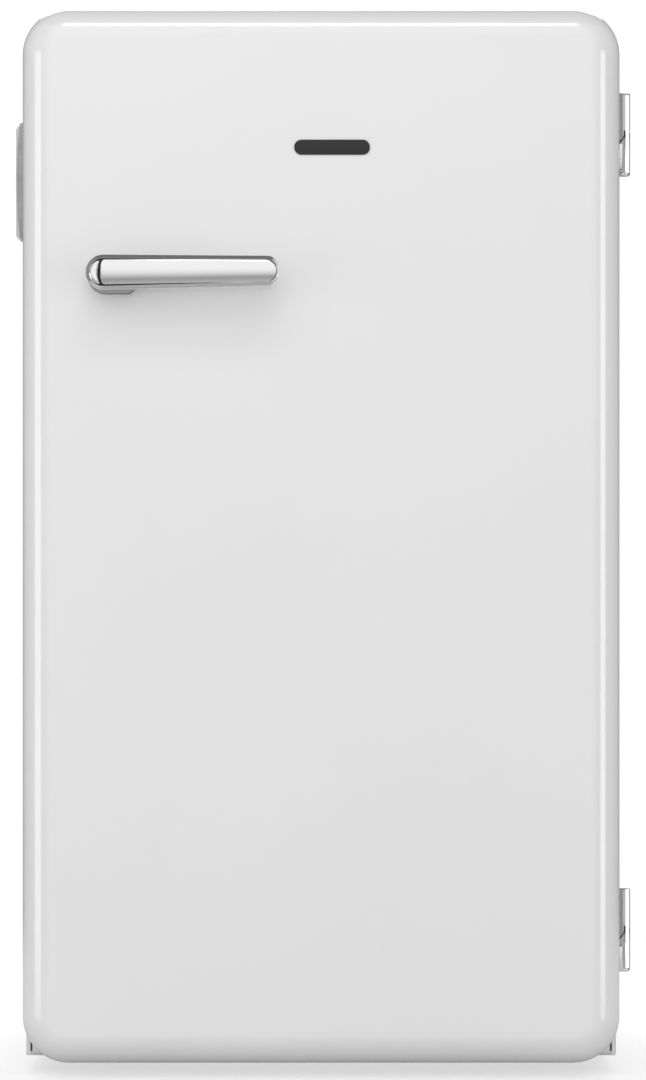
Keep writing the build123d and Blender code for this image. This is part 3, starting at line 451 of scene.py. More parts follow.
def door_liner():
    """Formed inner panel: a flat border, a rounded raised rim and the panel between the racks."""
    low, high = box("door_liner")
    back = low.y + LINER_SHEET
    base, crown, foot = LINER_ROUNDS
    first, second, third, fourth = LINER_RIM_CORNERS

    def ring(grow, y, corner):
        z = (LINER_RIM_Z[0] - grow, LINER_RIM_Z[1] + grow)
        return loop(LINER_RIM_X + grow, z, corner, y, steps=10)

    rings = [loop(high.x, (low.z, high.z), LINER_CORNER, y, steps=10) for y in (low.y, back)]
    for turn in arc(0, 90, 5):
        out, up = base * (1 - math.sin(turn)), base * (1 - math.cos(turn))
        rings.append(ring(out, back + up, first))
    for turn in arc(0, 90, 8):
        out, down = crown * (1 - math.cos(turn)), crown * (1 - math.sin(turn))
        rings.append(ring(-out, high.y - down, second))
    for turn in arc(90, 0, 8):
        out, down = crown * (1 - math.cos(turn)), crown * (1 - math.sin(turn))
        rings.append(ring(-LINER_RIM_WIDE + out, high.y - down, third))
    for turn in arc(90, 0, 4):
        out, up = foot * (1 - math.sin(turn)), foot * (1 - math.cos(turn))
        rings.append(ring(-LINER_RIM_WIDE - out, back + up, fourth))
    bm = bmesh.new()
    skin_loops(bm, rings, cap_last=True, cap_first=True)
    piece("door_liner_formed", bm, "door", "liner_white", "door_liner")


# The gasket's section, the same all round the door: inset from the door's edge, and y.
GASKET_PROFILE = [
    (16.0, -166.0), (15.2, -164.4), (16.8, -162.6), (15.2, -160.8), (16.6, -159.0), (15.6, -157.2),
    (15.9, -155.0), (17.0, -154.1), (25.0, -154.4), (34.6, -154.1), (35.8, -155.0), (36.2, -157.0),
    (34.4, -159.0), (35.6, -161.0), (34.4, -163.2), (35.4, -166.0),
]


def door_gasket():
    """Soft bellows gasket all round the door."""
    low, high = box("door_skin")
    rings = []
    for inset, y in GASKET_PROFILE:
        z = (low.z + inset, high.z - inset)
        rings.append(loop(high.x - inset, z, max(DOOR_CORNER - inset, 1.2), y, steps=6))
    bm = bmesh.new()
    skin_loops(bm, rings, closed=True)
    piece("door_gasket_bellows", bm, "door", "gasket_white", "door_gasket", crease=60.0)


# Handle

# The grip's outline seen from the front, and the channel in it that takes the cover.
GRIP = [(-185.2, 623.2), (-33.3, 627.3), (-33.3, 650.7), (-185.2, 651.8)]
GRIP_RADII = [14.0, 9.0, 9.0, 14.0]
CHANNEL_SIDES = [3.1, 1.3, 3.1, 3.0]  # width of the rim below, right of, above and left of it
CHANNEL_RADII = [10.6, 8.2, 8.2, 10.6]
GRIP_BACK_Y = -250.0
GRIP_BACK_EDGE = 3.0
RIM_OUTER_Y = -256.6
RIM_CREST_Y = -260.2
RIM_ROUND = 0.7
RIM_FACE = (0.07, 0.93)  # the sloping face's start and end, as shares of the rim's width
COVER_BACK_Y = -257.5
CROWN_Y = -266.0
CROWN_EDGE_Y = -264.0
CROWN_TILT = 23.0  # degrees of slope at the cover's upper and lower edges
CROWN_STEPS = 20
COVER_LEFT, COVER_RIGHT = -173.1, -35.0
COVER_MIDDLE, COVER_RISE = 637.5, 0.9  # height of its middle at the left, and the rise from there
COVER_HALF, COVER_TAPER = 9.9, 1.4  # half its height at the left, and how much less at the right
COVER_LEFT_ROUND = (3.0, 6.0)  # width and height of the rounding of its left corners
COVER_RIGHT_ROUND = 9.0
CAP_CENTRE = (-172.6, 637.4)
CAP_RIGHT = -173.8
CAP_R = 9.9
CAP_HOLLOW = 1.8  # how far its right edge curves in
CAP_LEAN = 0.16  # rise of its sloping face
# The cap's scale and y, from its back to its crown.
CAP_LEVELS = [(0.97, COVER_BACK_Y), (0.97, -262.6), (0.94, -263.1), (0.88, -263.4), (0.5, -263.7)]
BASE_CUT = (3.5, 3.0)  # width and height of the cut corner of the tab
BASE_RADII = [13.0, 1.5, 1.5, 4.0, 13.0]
BASE_FLARE = [(4.0, 0.0), (2.0, 0.3), (1.2, 0.9), (0.0, 0.9)]  # distance from the door, and spread


def grip_ring(share, y, extra=0.0):
    """The grip's outline at share 0, the channel's at share 1; extra draws it in further."""
    sides = [side * share + extra for side in CHANNEL_SIDES]
    radii = [a + (b - a) * share - extra for a, b in zip(GRIP_RADII, CHANNEL_RADII)]
    return [(x, y, z) for x, z in rounded_polygon(drawn_in(GRIP, sides), radii)]


def handle_grip():
    """Chrome body of the grip, with a sloping rim around the channel that takes the cover."""
    rings = []
    for turn in arc(90, 0, 6):
        drawn = GRIP_BACK_EDGE * (1 - math.cos(turn))
        rings.append(grip_ring(0.0, GRIP_BACK_Y - GRIP_BACK_EDGE * (1 - math.sin(turn)), drawn))
    start, end = RIM_FACE
    face_y = RIM_OUTER_Y - RIM_ROUND
    for share, y in ((0.0, RIM_OUTER_Y), (0.02, RIM_OUTER_Y - 0.4), (start, face_y)):
        rings.append(grip_ring(share, y))
    slope = (RIM_CREST_Y - face_y) / (end - start)
    for share in (0.1, 0.88, end):
        rings.append(grip_ring(share, face_y + slope * (share - start)))
    for share, y in ((0.97, RIM_CREST_Y), (1.0, RIM_CREST_Y + 0.4)):
        rings.append(grip_ring(share, y))
    rings.append(grip_ring(1.0, COVER_BACK_Y))
    bm = bmesh.new()
    skin_loops(bm, rings, cap_first=True, cap_last=True)
    piece("handle_grip_body", bm, "door", "chrome", "handle_arm", crease=30.0)


def handle_core():
    """Black plastic floor of the channel, seen in the gaps around the cover."""
    bm = bmesh.new()
    rings = [grip_ring(1.0, COVER_BACK_Y + lift, 0.05) for lift in (0.5, -0.6)]
    skin_loops(bm, rings, cap_first=True, cap_last=True)
    piece("handle_core", bm, "door", "black_plastic")


def crown_section(x, middle, half, full, rise=1.0):
    """Section of the cover: flat back, short sides and a front that is part of a cylinder.

    half is this section's half height, full the half height of the whole cylinder.
    """
    edge_y = COVER_BACK_Y + (CROWN_EDGE_Y - COVER_BACK_Y) * rise
    top_y = COVER_BACK_Y + (CROWN_Y - COVER_BACK_Y) * rise
    limit = math.radians(CROWN_TILT)
    points = [(x, COVER_BACK_Y, middle - half)]
    for i in range(CROWN_STEPS + 1):
        up = (2 * i / CROWN_STEPS - 1) * half
        slope = math.asin(up / full * math.sin(limit))
        share = (math.cos(slope) - math.cos(limit)) / (1 - math.cos(limit))
        trim = 0.985 if i in (0, CROWN_STEPS) else 1.0
        points.append((x, edge_y + (top_y - edge_y) * share, middle + up * trim))
    points.append((x, COVER_BACK_Y, middle + half))
    return points


def grip_middle(x):
    """Height of the cover's middle and its half height; both taper to the right."""
    share = (x - COVER_LEFT) / (COVER_RIGHT - COVER_LEFT)
    return COVER_MIDDLE + COVER_RISE * share, COVER_HALF - COVER_TAPER * share


def handle_cover():
    """Crowned chrome cover: rounded corners at the left, a full round at the right."""
    wide, tall = COVER_LEFT_ROUND
    right_end = COVER_RIGHT_ROUND
    sections = []
    for turn in arc(0, 90, 9):
        x = COVER_LEFT + wide * (1 - math.cos(turn))
        middle, full = grip_middle(x)
        half = full - tall * (1 - math.sin(turn))
        sections.append(crown_section(x, middle, half, full, 0.97 + 0.03 * math.sin(turn)))
    start = COVER_LEFT + wide
    for i in range(1, 8):
        x = start + (COVER_RIGHT - right_end - start) * i / 8
        middle, full = grip_middle(x)
        sections.append(crown_section(x, middle, full, full))
    for turn in arc(0, 86, 14):
        x = COVER_RIGHT - right_end + right_end * math.sin(turn)
        middle, full = grip_middle(x)
        rise = 0.96 + 0.04 * math.cos(turn)
        sections.append(crown_section(x, middle, full * math.cos(turn), full, rise))
    bm = bmesh.new()
    skin_loops(bm, sections, cap_first=True, cap_last=True)
    piece("handle_cover_crowned", bm, "door", "chrome", "handle_cover", crease=50.0)


def cap_outline():
    """The cap from the front: round at the left, hollowed towards the cover at the right."""
    x, z = CAP_CENTRE
    reach = math.acos((CAP_RIGHT - x) / CAP_R)
    turns = arc(106, 254, 28)
    points = [(x + CAP_R * math.cos(turn), z + CAP_R * math.sin(turn)) for turn in turns]
    half = CAP_R * math.sin(reach) - 0.5
    for i in range(9):
        share = -1 + i / 4
        points.append((CAP_RIGHT - CAP_HOLLOW * (1 - share * share), z + half * share))
    return points


def shrunk(points, scale):
    """The points scaled about their mean."""
    middle = sum((Vector(point) for point in points), Vector((0, 0))) / len(points)
    return [middle + (Vector(point) - middle) * scale for point in points]


def handle_end_cap():
    """Chrome cap that fills the round left end."""
    outline = cap_outline()
    rings = []
    for scale, y in CAP_LEVELS:
        section = shrunk(outline, scale)
        rings.append([(x, y + CAP_LEAN * (z - CAP_CENTRE[1]), z) for x, z in section])
    bm = bmesh.new()
    skin_loops(bm, rings, cap_first=True, cap_last=True)
    piece("handle_end_cap_domed", bm, "door", "chrome", "handle_end_cap", crease=50.0)


def handle_base():
    """Post that carries the grip, with a flared foot on the door and a tab under the grip."""
    low, high = box("handle_base")
    wide, tall = BASE_CUT
    corners = [(low.x, low.z), (high.x - wide, low.z), (high.x, low.z + tall)]
    corners += [(high.x, high.z), (low.x, high.z)]
    levels = [(low.y, 0.0)] + [(high.y - away, wider) for away, wider in BASE_FLARE]
    rings = []
    for y, wider in levels:
        radii = [radius + wider for radius in BASE_RADII]
        outline = rounded_polygon(drawn_in(corners, [-wider] * len(corners)), radii)
        rings.append([(x, y, z) for x, z in outline])
    bm = bmesh.new()
    skin_loops(bm, rings, cap_first=True, cap_last=True)
    piece("handle_base_cast", bm, "door", SLOTS["handle_base"], "handle_base")


# Screws

HEAD_DEEP = 1.8
CROSS_DEEP = 1.1
HINGE_SCREW = (3.9, 0.15)  # radius of a head and how far it stands above its seat
BACK_SCREW = (4.0, 1.9)
OPENER_SCREW = (3.5, 0.1)

def turned(bm, profile, seat, steps=28):
    """Adds a turned shape from (radius, height) pairs, on its seat, and returns its rings."""
    rings = []
    for radius, height in profile:
        circle = [(math.cos(a) * radius, math.sin(a) * radius, height) for a in arc(0, 360, steps)[:-1]]
        rings.append([bm.verts.new(seat @ Vector(point)) for point in circle])
    for one, two in zip(rings, rings[1:]):
        for i in range(steps):
            j = (i + 1) % steps
            bm.faces.new((one[i], one[j], two[j], two[i]))
    return rings


def cross_points(reach, half):
    """The twelve corners of a cross."""
    arm = [(reach, -half), (reach, half), (half, half)]
    points = []
    for quarter in range(4):
        turn = Matrix.Rotation(math.pi / 2 * quarter, 2)
        points += [turn @ Vector(point) for point in arm]
    return points


def screw_head(bm, spot, outward, radius, tall):
    """Adds a screw head with a cross recess; tall is how far it stands above its seat.

    A tall head is domed, a low one is nearly flat.
    """
    turn = Vector(outward).to_track_quat("Z", "Y").to_matrix().to_4x4()
    seat = Matrix.Translation(spot) @ turn
    top = max(tall, 0.0)
    flat = radius * (0.66 if tall > 0.5 else 0.93)
    profile = [(radius * 0.6, top - HEAD_DEEP)]
    profile += [(radius, min(top - 0.7, 0.0)), (radius, max(top - 1.2, -0.1))]
    for share in (0.4, 0.75):
        drop = (top * 0.45 + 0.1) * (1 - share) ** 2
        profile.append((radius - (radius - flat) * share, top - drop))
    profile.append((flat, top))
    rings = turned(bm, profile, seat)
    bm.faces.new(rings[0])
    cross = cross_points(radius * 0.5, radius * 0.13)
    rim = [bm.verts.new(seat @ Vector((*point, top))) for point in cross]
    deeper = cross_points(radius * 0.3, radius * 0.09)
    foot = [bm.verts.new(seat @ Vector((*point, top - CROSS_DEEP))) for point in deeper]
    edges = [bm.edges.get((rings[-1][i], rings[-1][i - 1])) for i in range(len(rings[-1]))]
    edges += [bm.edges.new((rim[i], rim[i - 1])) for i in range(12)]
    bmesh.ops.triangle_fill(bm, edges=edges, use_beauty=True)
    for i in range(12):
        bm.faces.new((rim[i - 1], rim[i], foot[i], foot[i - 1]))
    bm.faces.new(foot)


def screws(name, node_name, spots, outward, head):
    """Screw heads at several spots, in place of one CAD node; head is radius and height."""
    bm = bmesh.new()
    for spot in spots:
        screw_head(bm, spot, outward, *head)
    piece(name, bm, NODES[node_name]["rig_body"], SLOTS[node_name], node_name)


# Hinges

HINGE_X, HINGE_Y = 243.0, -160.0
HINGE_LOWS = (80.2, 719.4)
HINGE_TALL = 66.4
HINGE_SIDE = 237.6  # the side of the cabinet and of the door
BARREL_R = 5.5
LEAF_OUT = 240.5
LEAF_EDGE = 0.8  # rounding of the leaves
TOP_EDGE = 1.8  # rounding of the upper half's top
CABINET_LEAF_Y = (-154.0, -112.0)
CABINET_SCREW_YS = (-142.0, -122.0)
CABINET_SCREW_RISE = 51.0  # above the hinge's foot
DOOR_LEAF_Y = (-203.0, -164.0)
DOOR_SCREW_YS = (-178.0, -195.0)
DOOR_SCREW_RISE = 13.0
NECK_Y = -153.5
FOOT_GAP = 3.0  # pin head and washer under the lower half
SLANT = (23.4, 36.3)  # height of the slanted joint at the door side and at the outside
SLANT_GAP = 0.5
SLANT_LAP = 0.02  # keeps the slanted part's low end from closing to nothing
FLAT_UNTIL = 240.8  # the upper half's underside is level up to here
BARREL_TURNS = (100.0, 172.0)  # degrees of the barrel's round back, in the upper and lower half
BUSH_R = 3.9
# Flat strip beside the bead, seen from above.
UPPER_STRIP = [(HINGE_SIDE, -164.4), (239.3, -168.0), (244.5, -162.4)]
LOWER_STRIP = [(HINGE_SIDE, -166.1), (244.0, -164.5), (244.3, -163.4)]
BEAD_START = (244.8, -164.3)
BEAD_TILTS = (20.5, 26.0)  # degrees of slope at its start and end
BEAD_R = 29.5
BEAD_END_R = 1.9  # the round edge after it


def slant_at(x):
    """Height of the slanted joint above the hinge's foot."""
    share = (x - HINGE_SIDE) / (HINGE_X + BARREL_R - HINGE_SIDE)
    return SLANT[0] + (SLANT[1] - SLANT[0]) * share


def bead():
    """The bright raised strip beside the flat one, seen from above, and the round edge after it."""
    x, y = BEAD_START
    start, end = (math.radians(tilt) for tilt in BEAD_TILTS)
    points = []
    for turn in arc(*BEAD_TILTS, 4):
        across = BEAD_R * (math.sin(turn) - math.sin(start))
        points.append((x + across, y + BEAD_R * (math.cos(start) - math.cos(turn))))
    x, y = points[-1]
    for turn in arc(BEAD_TILTS[1], 90, 6)[1:]:
        across = BEAD_END_R * (math.sin(turn) - math.sin(end))
        points.append((x + across, y + BEAD_END_R * (math.cos(end) - math.cos(turn))))
    return points


def barrel_back(end):
    """The barrel's round back seen from above, up to the end angle."""
    turns = arc(0, end, 16)
    return [(HINGE_X + BARREL_R * math.cos(a), HINGE_Y + BARREL_R * math.sin(a)) for a in turns]


def upright(bm, outline, bottom, top, bevel=0.0):
    """Adds an upright bar between two height functions of x, its top edge rounded if asked."""
    rings = [[(x, y, bottom(x)) for x, y in outline]]
    if bevel:
        for scale, drop in ((1.0, bevel), (0.985, bevel * 0.45), (0.95, bevel * 0.12), (0.88, 0.0)):
            rings.append([(x, y, top(x) - drop) for x, y in shrunk(outline, scale)])
    else:
        rings.append([(x, y, top(x)) for x, y in outline])
    skin_loops(bm, rings, cap_first=True, cap_last=True)


def rounded_bar(bm, low, high, width, segments=3):
    """Adds a box with rounded edges."""
    own = bmesh.new()
    bmesh.ops.create_cube(own, size=1.0)
    size = Vector(high) - Vector(low)
    bmesh.ops.scale(own, vec=size, verts=own.verts)
    bmesh.ops.translate(own, vec=(Vector(low) + Vector(high)) / 2, verts=own.verts)
    round_edges(own, width, segments)
    mesh = bpy.data.meshes.new("bar")
    own.to_mesh(mesh)
    own.free()
    bm.from_mesh(mesh)
    bpy.data.meshes.remove(mesh)


def hinge_upper_half(bm, low):
    """Fixed to the cabinet: leaf, neck and barrel, with a slanted underside in front."""
    neck = [(LEAF_OUT, NECK_Y), (HINGE_SIDE, NECK_Y)]
    join = low + SLANT[1] + SLANT_GAP
    top = low + HINGE_TALL
    whole = UPPER_STRIP + bead() + barrel_back(BARREL_TURNS[0]) + neck
    upright(bm, whole, lambda x: join, lambda x: top, TOP_EDGE)
    slanted = UPPER_STRIP + bead() + [(HINGE_X + BARREL_R, HINGE_Y), (HINGE_SIDE, HINGE_Y)]
    upright(bm, slanted, lambda x: low + slant_at(max(x, FLAT_UNTIL)) + SLANT_GAP, lambda x: join)
    front, back = CABINET_LEAF_Y
    rounded_bar(bm, (HINGE_SIDE - 0.1, front, join), (LEAF_OUT, back, top - 1.2), LEAF_EDGE)


def hinge_lower_half(bm, low):
    """Fixed to the door: leaf and barrel, with a slanted top in front."""
    start, join = low + FOOT_GAP, low + SLANT[0]
    whole = LOWER_STRIP + bead() + barrel_back(BARREL_TURNS[1])
    upright(bm, whole, lambda x: start, lambda x: join)
    slanted = LOWER_STRIP + bead() + [(HINGE_X + BARREL_R, HINGE_Y), (HINGE_SIDE, HINGE_Y)]
    upright(bm, slanted, lambda x: join, lambda x: low + slant_at(x) + SLANT_LAP)
    front, back = DOOR_LEAF_Y
    rounded_bar(bm, (HINGE_SIDE - 0.1, front, start), (LEAF_OUT, back, join), LEAF_EDGE)


def hinge_halves():
    """Two halves of each hinge, meeting at a slanted joint around a dark bush."""
    upper, lower, bush = bmesh.new(), bmesh.new(), bmesh.new()
    for low in HINGE_LOWS:
        hinge_upper_half(upper, low)
        hinge_lower_half(lower, low)
        foot = Matrix.Translation((HINGE_X, HINGE_Y, low))
        rings = turned(bush, [(BUSH_R, SLANT[0] + 0.1), (BUSH_R, SLANT[1] + 0.4)], foot)
        bush.faces.new(rings[0])
        bush.faces.new(rings[1])
    piece("hinge_upper_halves", upper, "cabinet", "chrome", "hinge_cabinet_halves", crease=25.0)
    piece("hinge_lower_halves", lower, "door", "chrome", "hinge_door_halves", crease=25.0)
    piece("hinge_bushes", bush, "cabinet", "black_plastic")


def hinge_screws():
    """Two countersunk screws in each leaf."""
    upper = [(LEAF_OUT, y, low + CABINET_SCREW_RISE) for low in HINGE_LOWS for y in CABINET_SCREW_YS]
    lower = [(LEAF_OUT, y, low + DOOR_SCREW_RISE) for low in HINGE_LOWS for y in DOOR_SCREW_YS]
    screws("hinge_cabinet_screw_heads", "hinge_cabinet_screws", upper, (1, 0, 0), HINGE_SCREW)
    screws("hinge_door_screw_heads", "hinge_door_screws", lower, (1, 0, 0), HINGE_SCREW)


def back_screw_heads():
    """Pan-head screws round the back panel: three up each side and two along the top."""
    back_y = box("back_panel")[1].y
    places = [(x, z) for x in (-215.0, 215.0) for z in (205.0, 410.0, 615.0)]
    places += [(x, 820.0) for x in (-190.0, 190.0)]
    spots = [(x, back_y, z) for x, z in places]
    screws("back_screw_heads", "back_screws", spots, (0, 1, 0), BACK_SCREW)


def opener_screw_heads():
    """Two screws in the bottle opener's plate."""
    spots = [(-243.9, -127.0, z) for z in (686.0, 750.0)]
    screws("opener_screw_heads", "opener_screws", spots, (-1, 0, 0), OPENER_SCREW)


# Back panel and thermostat dial


def filled_between(bm, outer, inner_rings):
    """Fills the flat area between an outer ring of points and some inner ones."""
    edges = []
    for ring in [outer, *inner_rings]:
        for i, vert in enumerate(ring):
            edges.append(bm.edges.get((ring[i - 1], vert)) or bm.edges.new((ring[i - 1], vert)))
    bmesh.ops.triangle_fill(bm, edges=edges, use_beauty=True)


FIELD_RISE = 1.3  # the raised fields of the back panel
FIELD_X = 172.0  # half their width
FIELD_CORNER = 22.0
FIELD_LEVELS = [(246.0, 400.0), (424.0, 578.0), (602.0, 756.0)]


def pressed_field(bm, z, y):
    """Adds one raised field of the back panel and returns its lowest ring."""
    rings = []
    for inset, rise in ((0, 0), (0.6, 0.15), (2.4, FIELD_RISE - 0.15), (3.2, FIELD_RISE)):
        levels = (z[0] + inset, z[1] - inset)
        rings.append(loop(FIELD_X - inset, levels, FIELD_CORNER - inset, y + rise, steps=8))
    return skin_loops(bm, rings, cap_last=True)[0]


def back_panel():
    """Zinc-coated back sheet with three raised fields between its screws."""
    low, high = box("back_panel")
    corner = 39.2
    corners = [(low.x, low.z), (high.x, low.z), (high.x, high.z), (low.x, high.z)]
    outline = rounded_polygon(corners, [0.6, 0.6, corner, corner])
    bm = bmesh.new()
    rings = skin_loops(bm, [[(x, y, z) for x, z in outline] for y in (low.y, high.y)], cap_first=True)
    fields = [pressed_field(bm, z, high.y) for z in FIELD_LEVELS]
    filled_between(bm, rings[1], fields)
    piece("back_panel_pressed", bm, "cabinet", SLOTS["back_panel"], "back_panel")


KNOB_AT = (170.0, 609.0)
MARKS = 10
MARKS_STEP = 30.0  # degrees between two marks
MARKS_START = 16.2  # distance from the knob's axis
MARKS_END = 18.4
END_MARKS_END = 19.8


def dial_marks():
    """Raised marks around the thermostat knob, longer at both ends of its travel."""
    face = box("thermostat_housing")[0].y
    bm = bmesh.new()
    for step in range(MARKS):
        before = set(bm.verts)
        end = END_MARKS_END if step in (0, MARKS - 1) else MARKS_END
        rounded_bar(bm, (-0.5, face - 0.35, MARKS_START), (0.5, face + 0.3, end), 0.15, 2)
        angle = MARKS_STEP * (step - (MARKS - 1) / 2)
        turn = Matrix.Rotation(math.radians(angle), 4, "Y")
        moved = [vert for vert in bm.verts if vert not in before]
        move = Matrix.Translation((KNOB_AT[0], 0, KNOB_AT[1]))
        bmesh.ops.transform(bm, matrix=move @ turn, verts=moved)
    piece("thermostat_dial_marks", bm, "cabinet", "badge_black")


# Small pieces at the front

WRAPPER_CORNER = 40.0
HEM = 3.4  # width of the wrapper's folded edge
GROOVE = 1.5
OPENER_ENDS = 6.2  # how far the bottle opener's front stands out at its ends and in the middle
OPENER_MIDDLE = 8.9
# The border's section: inset from the flap's edge and rise above its face.
FLAP_BORDER = [(0.0, -0.2), (0.0, 0.7), (0.5, 1.2), (4.5, 1.2), (5.0, 0.7), (5.0, -0.2)]
FLAP_FACE_Y = -5.7
FLAP_HALF_X = 156.0
FLAP_Z = (686.0, 770.0)
FLAP_CORNER = 9.0


def groove_shade_strip():
    """Black strip that stands in for the shade in the groove between the wrapper's folded edge and the
    liner (painted shade), with a pale one over it at the bottom.
    """
    low, high = box("cabinet_shell")
    inner, outer = HEM + GROOVE + 0.3, HEM - 0.3
    front, back = low.y + 0.9, low.y + 1.45
    corners = [(low.x, low.z), (high.x, low.z), (high.x, high.z), (low.x, high.z)]
    rings = []
    for inset, y in ((outer, front), (inner, front), (inner, back), (outer, back)):
        radii = [0.6, 0.6, WRAPPER_CORNER - inset, WRAPPER_CORNER - inset]
        outline = rounded_polygon(drawn_in(corners, [inset] * 4), radii)
        rings.append([(x, y, z) for x, z in outline])
    bm = bmesh.new()
    skin_loops(bm, rings, closed=True)
    # Painted shade: a black strip where the groove between the wrapper and the liner would only be in
    # shade.
    piece("groove_shade_strip", bm, "cabinet", "black_plastic")
    bm = bmesh.new()
    half, bottom = high.x - HEM - GROOVE, low.z + HEM
    top = bottom + GROOVE + 0.1
    rounded_bar(bm, (-half, low.y + 0.5, bottom - 0.1), (half, low.y + 1.3, top), 0.2, 2)
    piece("groove_seal", bm, "cabinet", "liner_white")


def opener_front():
    """Folded front of the bottle opener's plate, its outer edge an arc."""
    low, high = box("opener_plate")
    side = box("cabinet_shell")[0].x
    middle, half = (low.z + high.z) / 2, (high.z - low.z) / 2
    bulge = OPENER_MIDDLE - OPENER_ENDS
    arc_r = (half * half + bulge * bulge) / (2 * bulge)
    reach = math.degrees(math.asin(half / arc_r))
    outline = [(side, low.z), (side, high.z)]
    for turn in arc(reach, -reach, 24):
        out = OPENER_MIDDLE - arc_r * (1 - math.cos(turn))
        outline.append((side - out, middle + arc_r * math.sin(turn)))
    levels = [(1.0, low.y + 1.0), (1.0, low.y - 0.1), (0.998, low.y - 0.3), (0.99, low.y - 0.35)]
    rings = [[(x, y, z) for x, z in shrunk(outline, scale)] for scale, y in levels]
    bm = bmesh.new()
    skin_loops(bm, rings, cap_first=True, cap_last=True)
    piece("opener_front", bm, "cabinet", SLOTS["opener_plate"])


def flap_border():
    """Raised border on the freezer flap's face."""
    rings = []
    for inset, rise in FLAP_BORDER:
        z = (FLAP_Z[0] + inset, FLAP_Z[1] - inset)
        y = FLAP_FACE_Y - rise
        rings.append(loop(FLAP_HALF_X - inset, z, FLAP_CORNER - inset, y, steps=8))
    bm = bmesh.new()
    skin_loops(bm, rings, closed=True)
    piece("flap_border", bm, "flap", "frosted")


# CAD nodes whose shape stays, by the width of the rounding on their edges

EDGE_WIDTHS = {
    0.2: ["hinge_washers", "drain_tube", "evaporation_tray"],
    0.3: ["cabinet_shell", "base_pan", "bay_plate", "badge", "freezer_box", "mount_bolts"],
    0.4: [
        "shelf_glass", "crisper_cover", "foot_sockets", "thermostat_knob", "hinge_pins",
        "compressor",
    ],
    0.5: [
        "inner_liner", "drip_tray", "crisper_drawer", "compressor_bracket", "compressor_mounts",
        "cord_gland",
    ],
    0.6: [
        "rack_top", "rack_middle", "rack_bottom", "shelf_trims", "rear_feet", "foot_left",
        "foot_right",
    ],
    0.8: [
        "freezer_frame", "freezer_flap", "thermostat_housing", "relay_cover", "opener_plate",
        "opener_housing",
    ],
}


def soften_nodes():
    """Refined copies of the CAD nodes listed above."""
    for width, names in EDGE_WIDTHS.items():
        for name in names:
            refined(name, width)


# Studio

WORLD_HEIGHTS = (-0.4, 0.5)  # from the darker lower surroundings to the brighter upper ones
WORLD_LOW, WORLD_HIGH = 0.36, 0.46
CEILING_STARTS = (0.76, 0.92)  # how far up the dark ceiling begins
WORLD_CEILING = 0.18
REAR_STARTS = (-0.1, 0.4)  # how far back the dark surroundings begin
WORLD_REAR = 0.2
FRONT_TILT = math.radians(34)
FRONT_STARTS = (0.45, 1.0)  # the bright patch behind and above the camera
FRONT_NARROW = 0.9
WORLD_FRONT = 1.06
WORLD_WHITE = 1.02
LIGHT_TARGET = (0.0, -0.2, 0.43)
FLOOR_HALF = 2.3
FLOOR_DROP = 0.0002
CAMERA_AT = (0.0015, -4.537, 0.427)
CAMERA_LENS = 181.4  # millimetres, on a sensor of the next width
CAMERA_SENSOR = 36.0


def smooth_ramp(tree, value, places, levels=(0.0, 1.0)):
    """Goes smoothly from the first level to the second between two places."""
    inputs = {"From Min": places[0], "From Max": places[1], "To Min": levels[0], "To Max": levels[1]}
    made = node(tree, "ShaderNodeMapRange", inputs, interpolation_type="SMOOTHSTEP")
    tree.links.new(value, made.inputs["Value"])
    return made.outputs["Result"]


def blend_values(tree, share, first, second):
    """Goes from the first value to a fixed second one as share rises from 0 to 1."""
    made = node(tree, "ShaderNodeMix", data_type="FLOAT")
    made.inputs["B"].default_value = second
    tree.links.new(share, made.inputs["Factor"])
    tree.links.new(first, made.inputs["A"])
    return made.outputs["Result"]


def area_light(name, size, place_at, aim_at, power):
    """A rectangular soft light; power in watts."""
    data = bpy.data.lights.new(name, "AREA")
    data.shape = "RECTANGLE"
    data.size, data.size_y = size
    data.energy = power
    lamp = bpy.data.objects.new(name, data)
    lamp.location = place_at
    lamp.rotation_euler = (Vector(aim_at) - Vector(place_at)).to_track_quat("-Z", "Y").to_euler()
    bpy.context.scene.collection.objects.link(lamp)
    return lamp


def studio_world():
    """Soft surroundings, bright in front and darker above and behind; the background shows white."""
    world = bpy.data.worlds.new("studio")
    bpy.context.scene.world = world
    world.use_nodes = True
    tree = world.node_tree
    where = node(tree, "ShaderNodeTexCoord")
    split = node(tree, "ShaderNodeSeparateXYZ")
    tree.links.new(where.outputs["Generated"], split.inputs["Vector"])
    towards = node(tree, "ShaderNodeVectorMath", operation="DOT_PRODUCT")
    towards.inputs[1].default_value = (0, -math.cos(FRONT_TILT), math.sin(FRONT_TILT))
    tree.links.new(where.outputs["Generated"], towards.inputs[0])
    aside = node(tree, "ShaderNodeMath", operation="POWER")
    tree.links.new(split.outputs["X"], aside.inputs[0])
    aside.inputs[1].default_value = 2.0
    front = node(tree, "ShaderNodeMath", operation="MULTIPLY_ADD")
    tree.links.new(aside.outputs["Value"], front.inputs[0])
    front.inputs[1].default_value = -FRONT_NARROW
    tree.links.new(towards.outputs["Value"], front.inputs[2])
    level = smooth_ramp(tree, split.outputs["Z"], WORLD_HEIGHTS, (WORLD_LOW, WORLD_HIGH))
    for value, starts, strength in (
        (split.outputs["Y"], REAR_STARTS, WORLD_REAR),
        (front.outputs["Value"], FRONT_STARTS, WORLD_FRONT),
        (split.outputs["Z"], CEILING_STARTS, WORLD_CEILING),
    ):
        level = blend_values(tree, smooth_ramp(tree, value, starts), level, strength)
    seen = node(tree, "ShaderNodeLightPath").outputs["Is Camera Ray"]
    level = blend_values(tree, seen, level, WORLD_WHITE)
    background = tree.nodes["Background"]
    tree.links.new(level, background.inputs["Strength"])
    background.inputs["Color"].default_value = (1, 1, 1, 1)


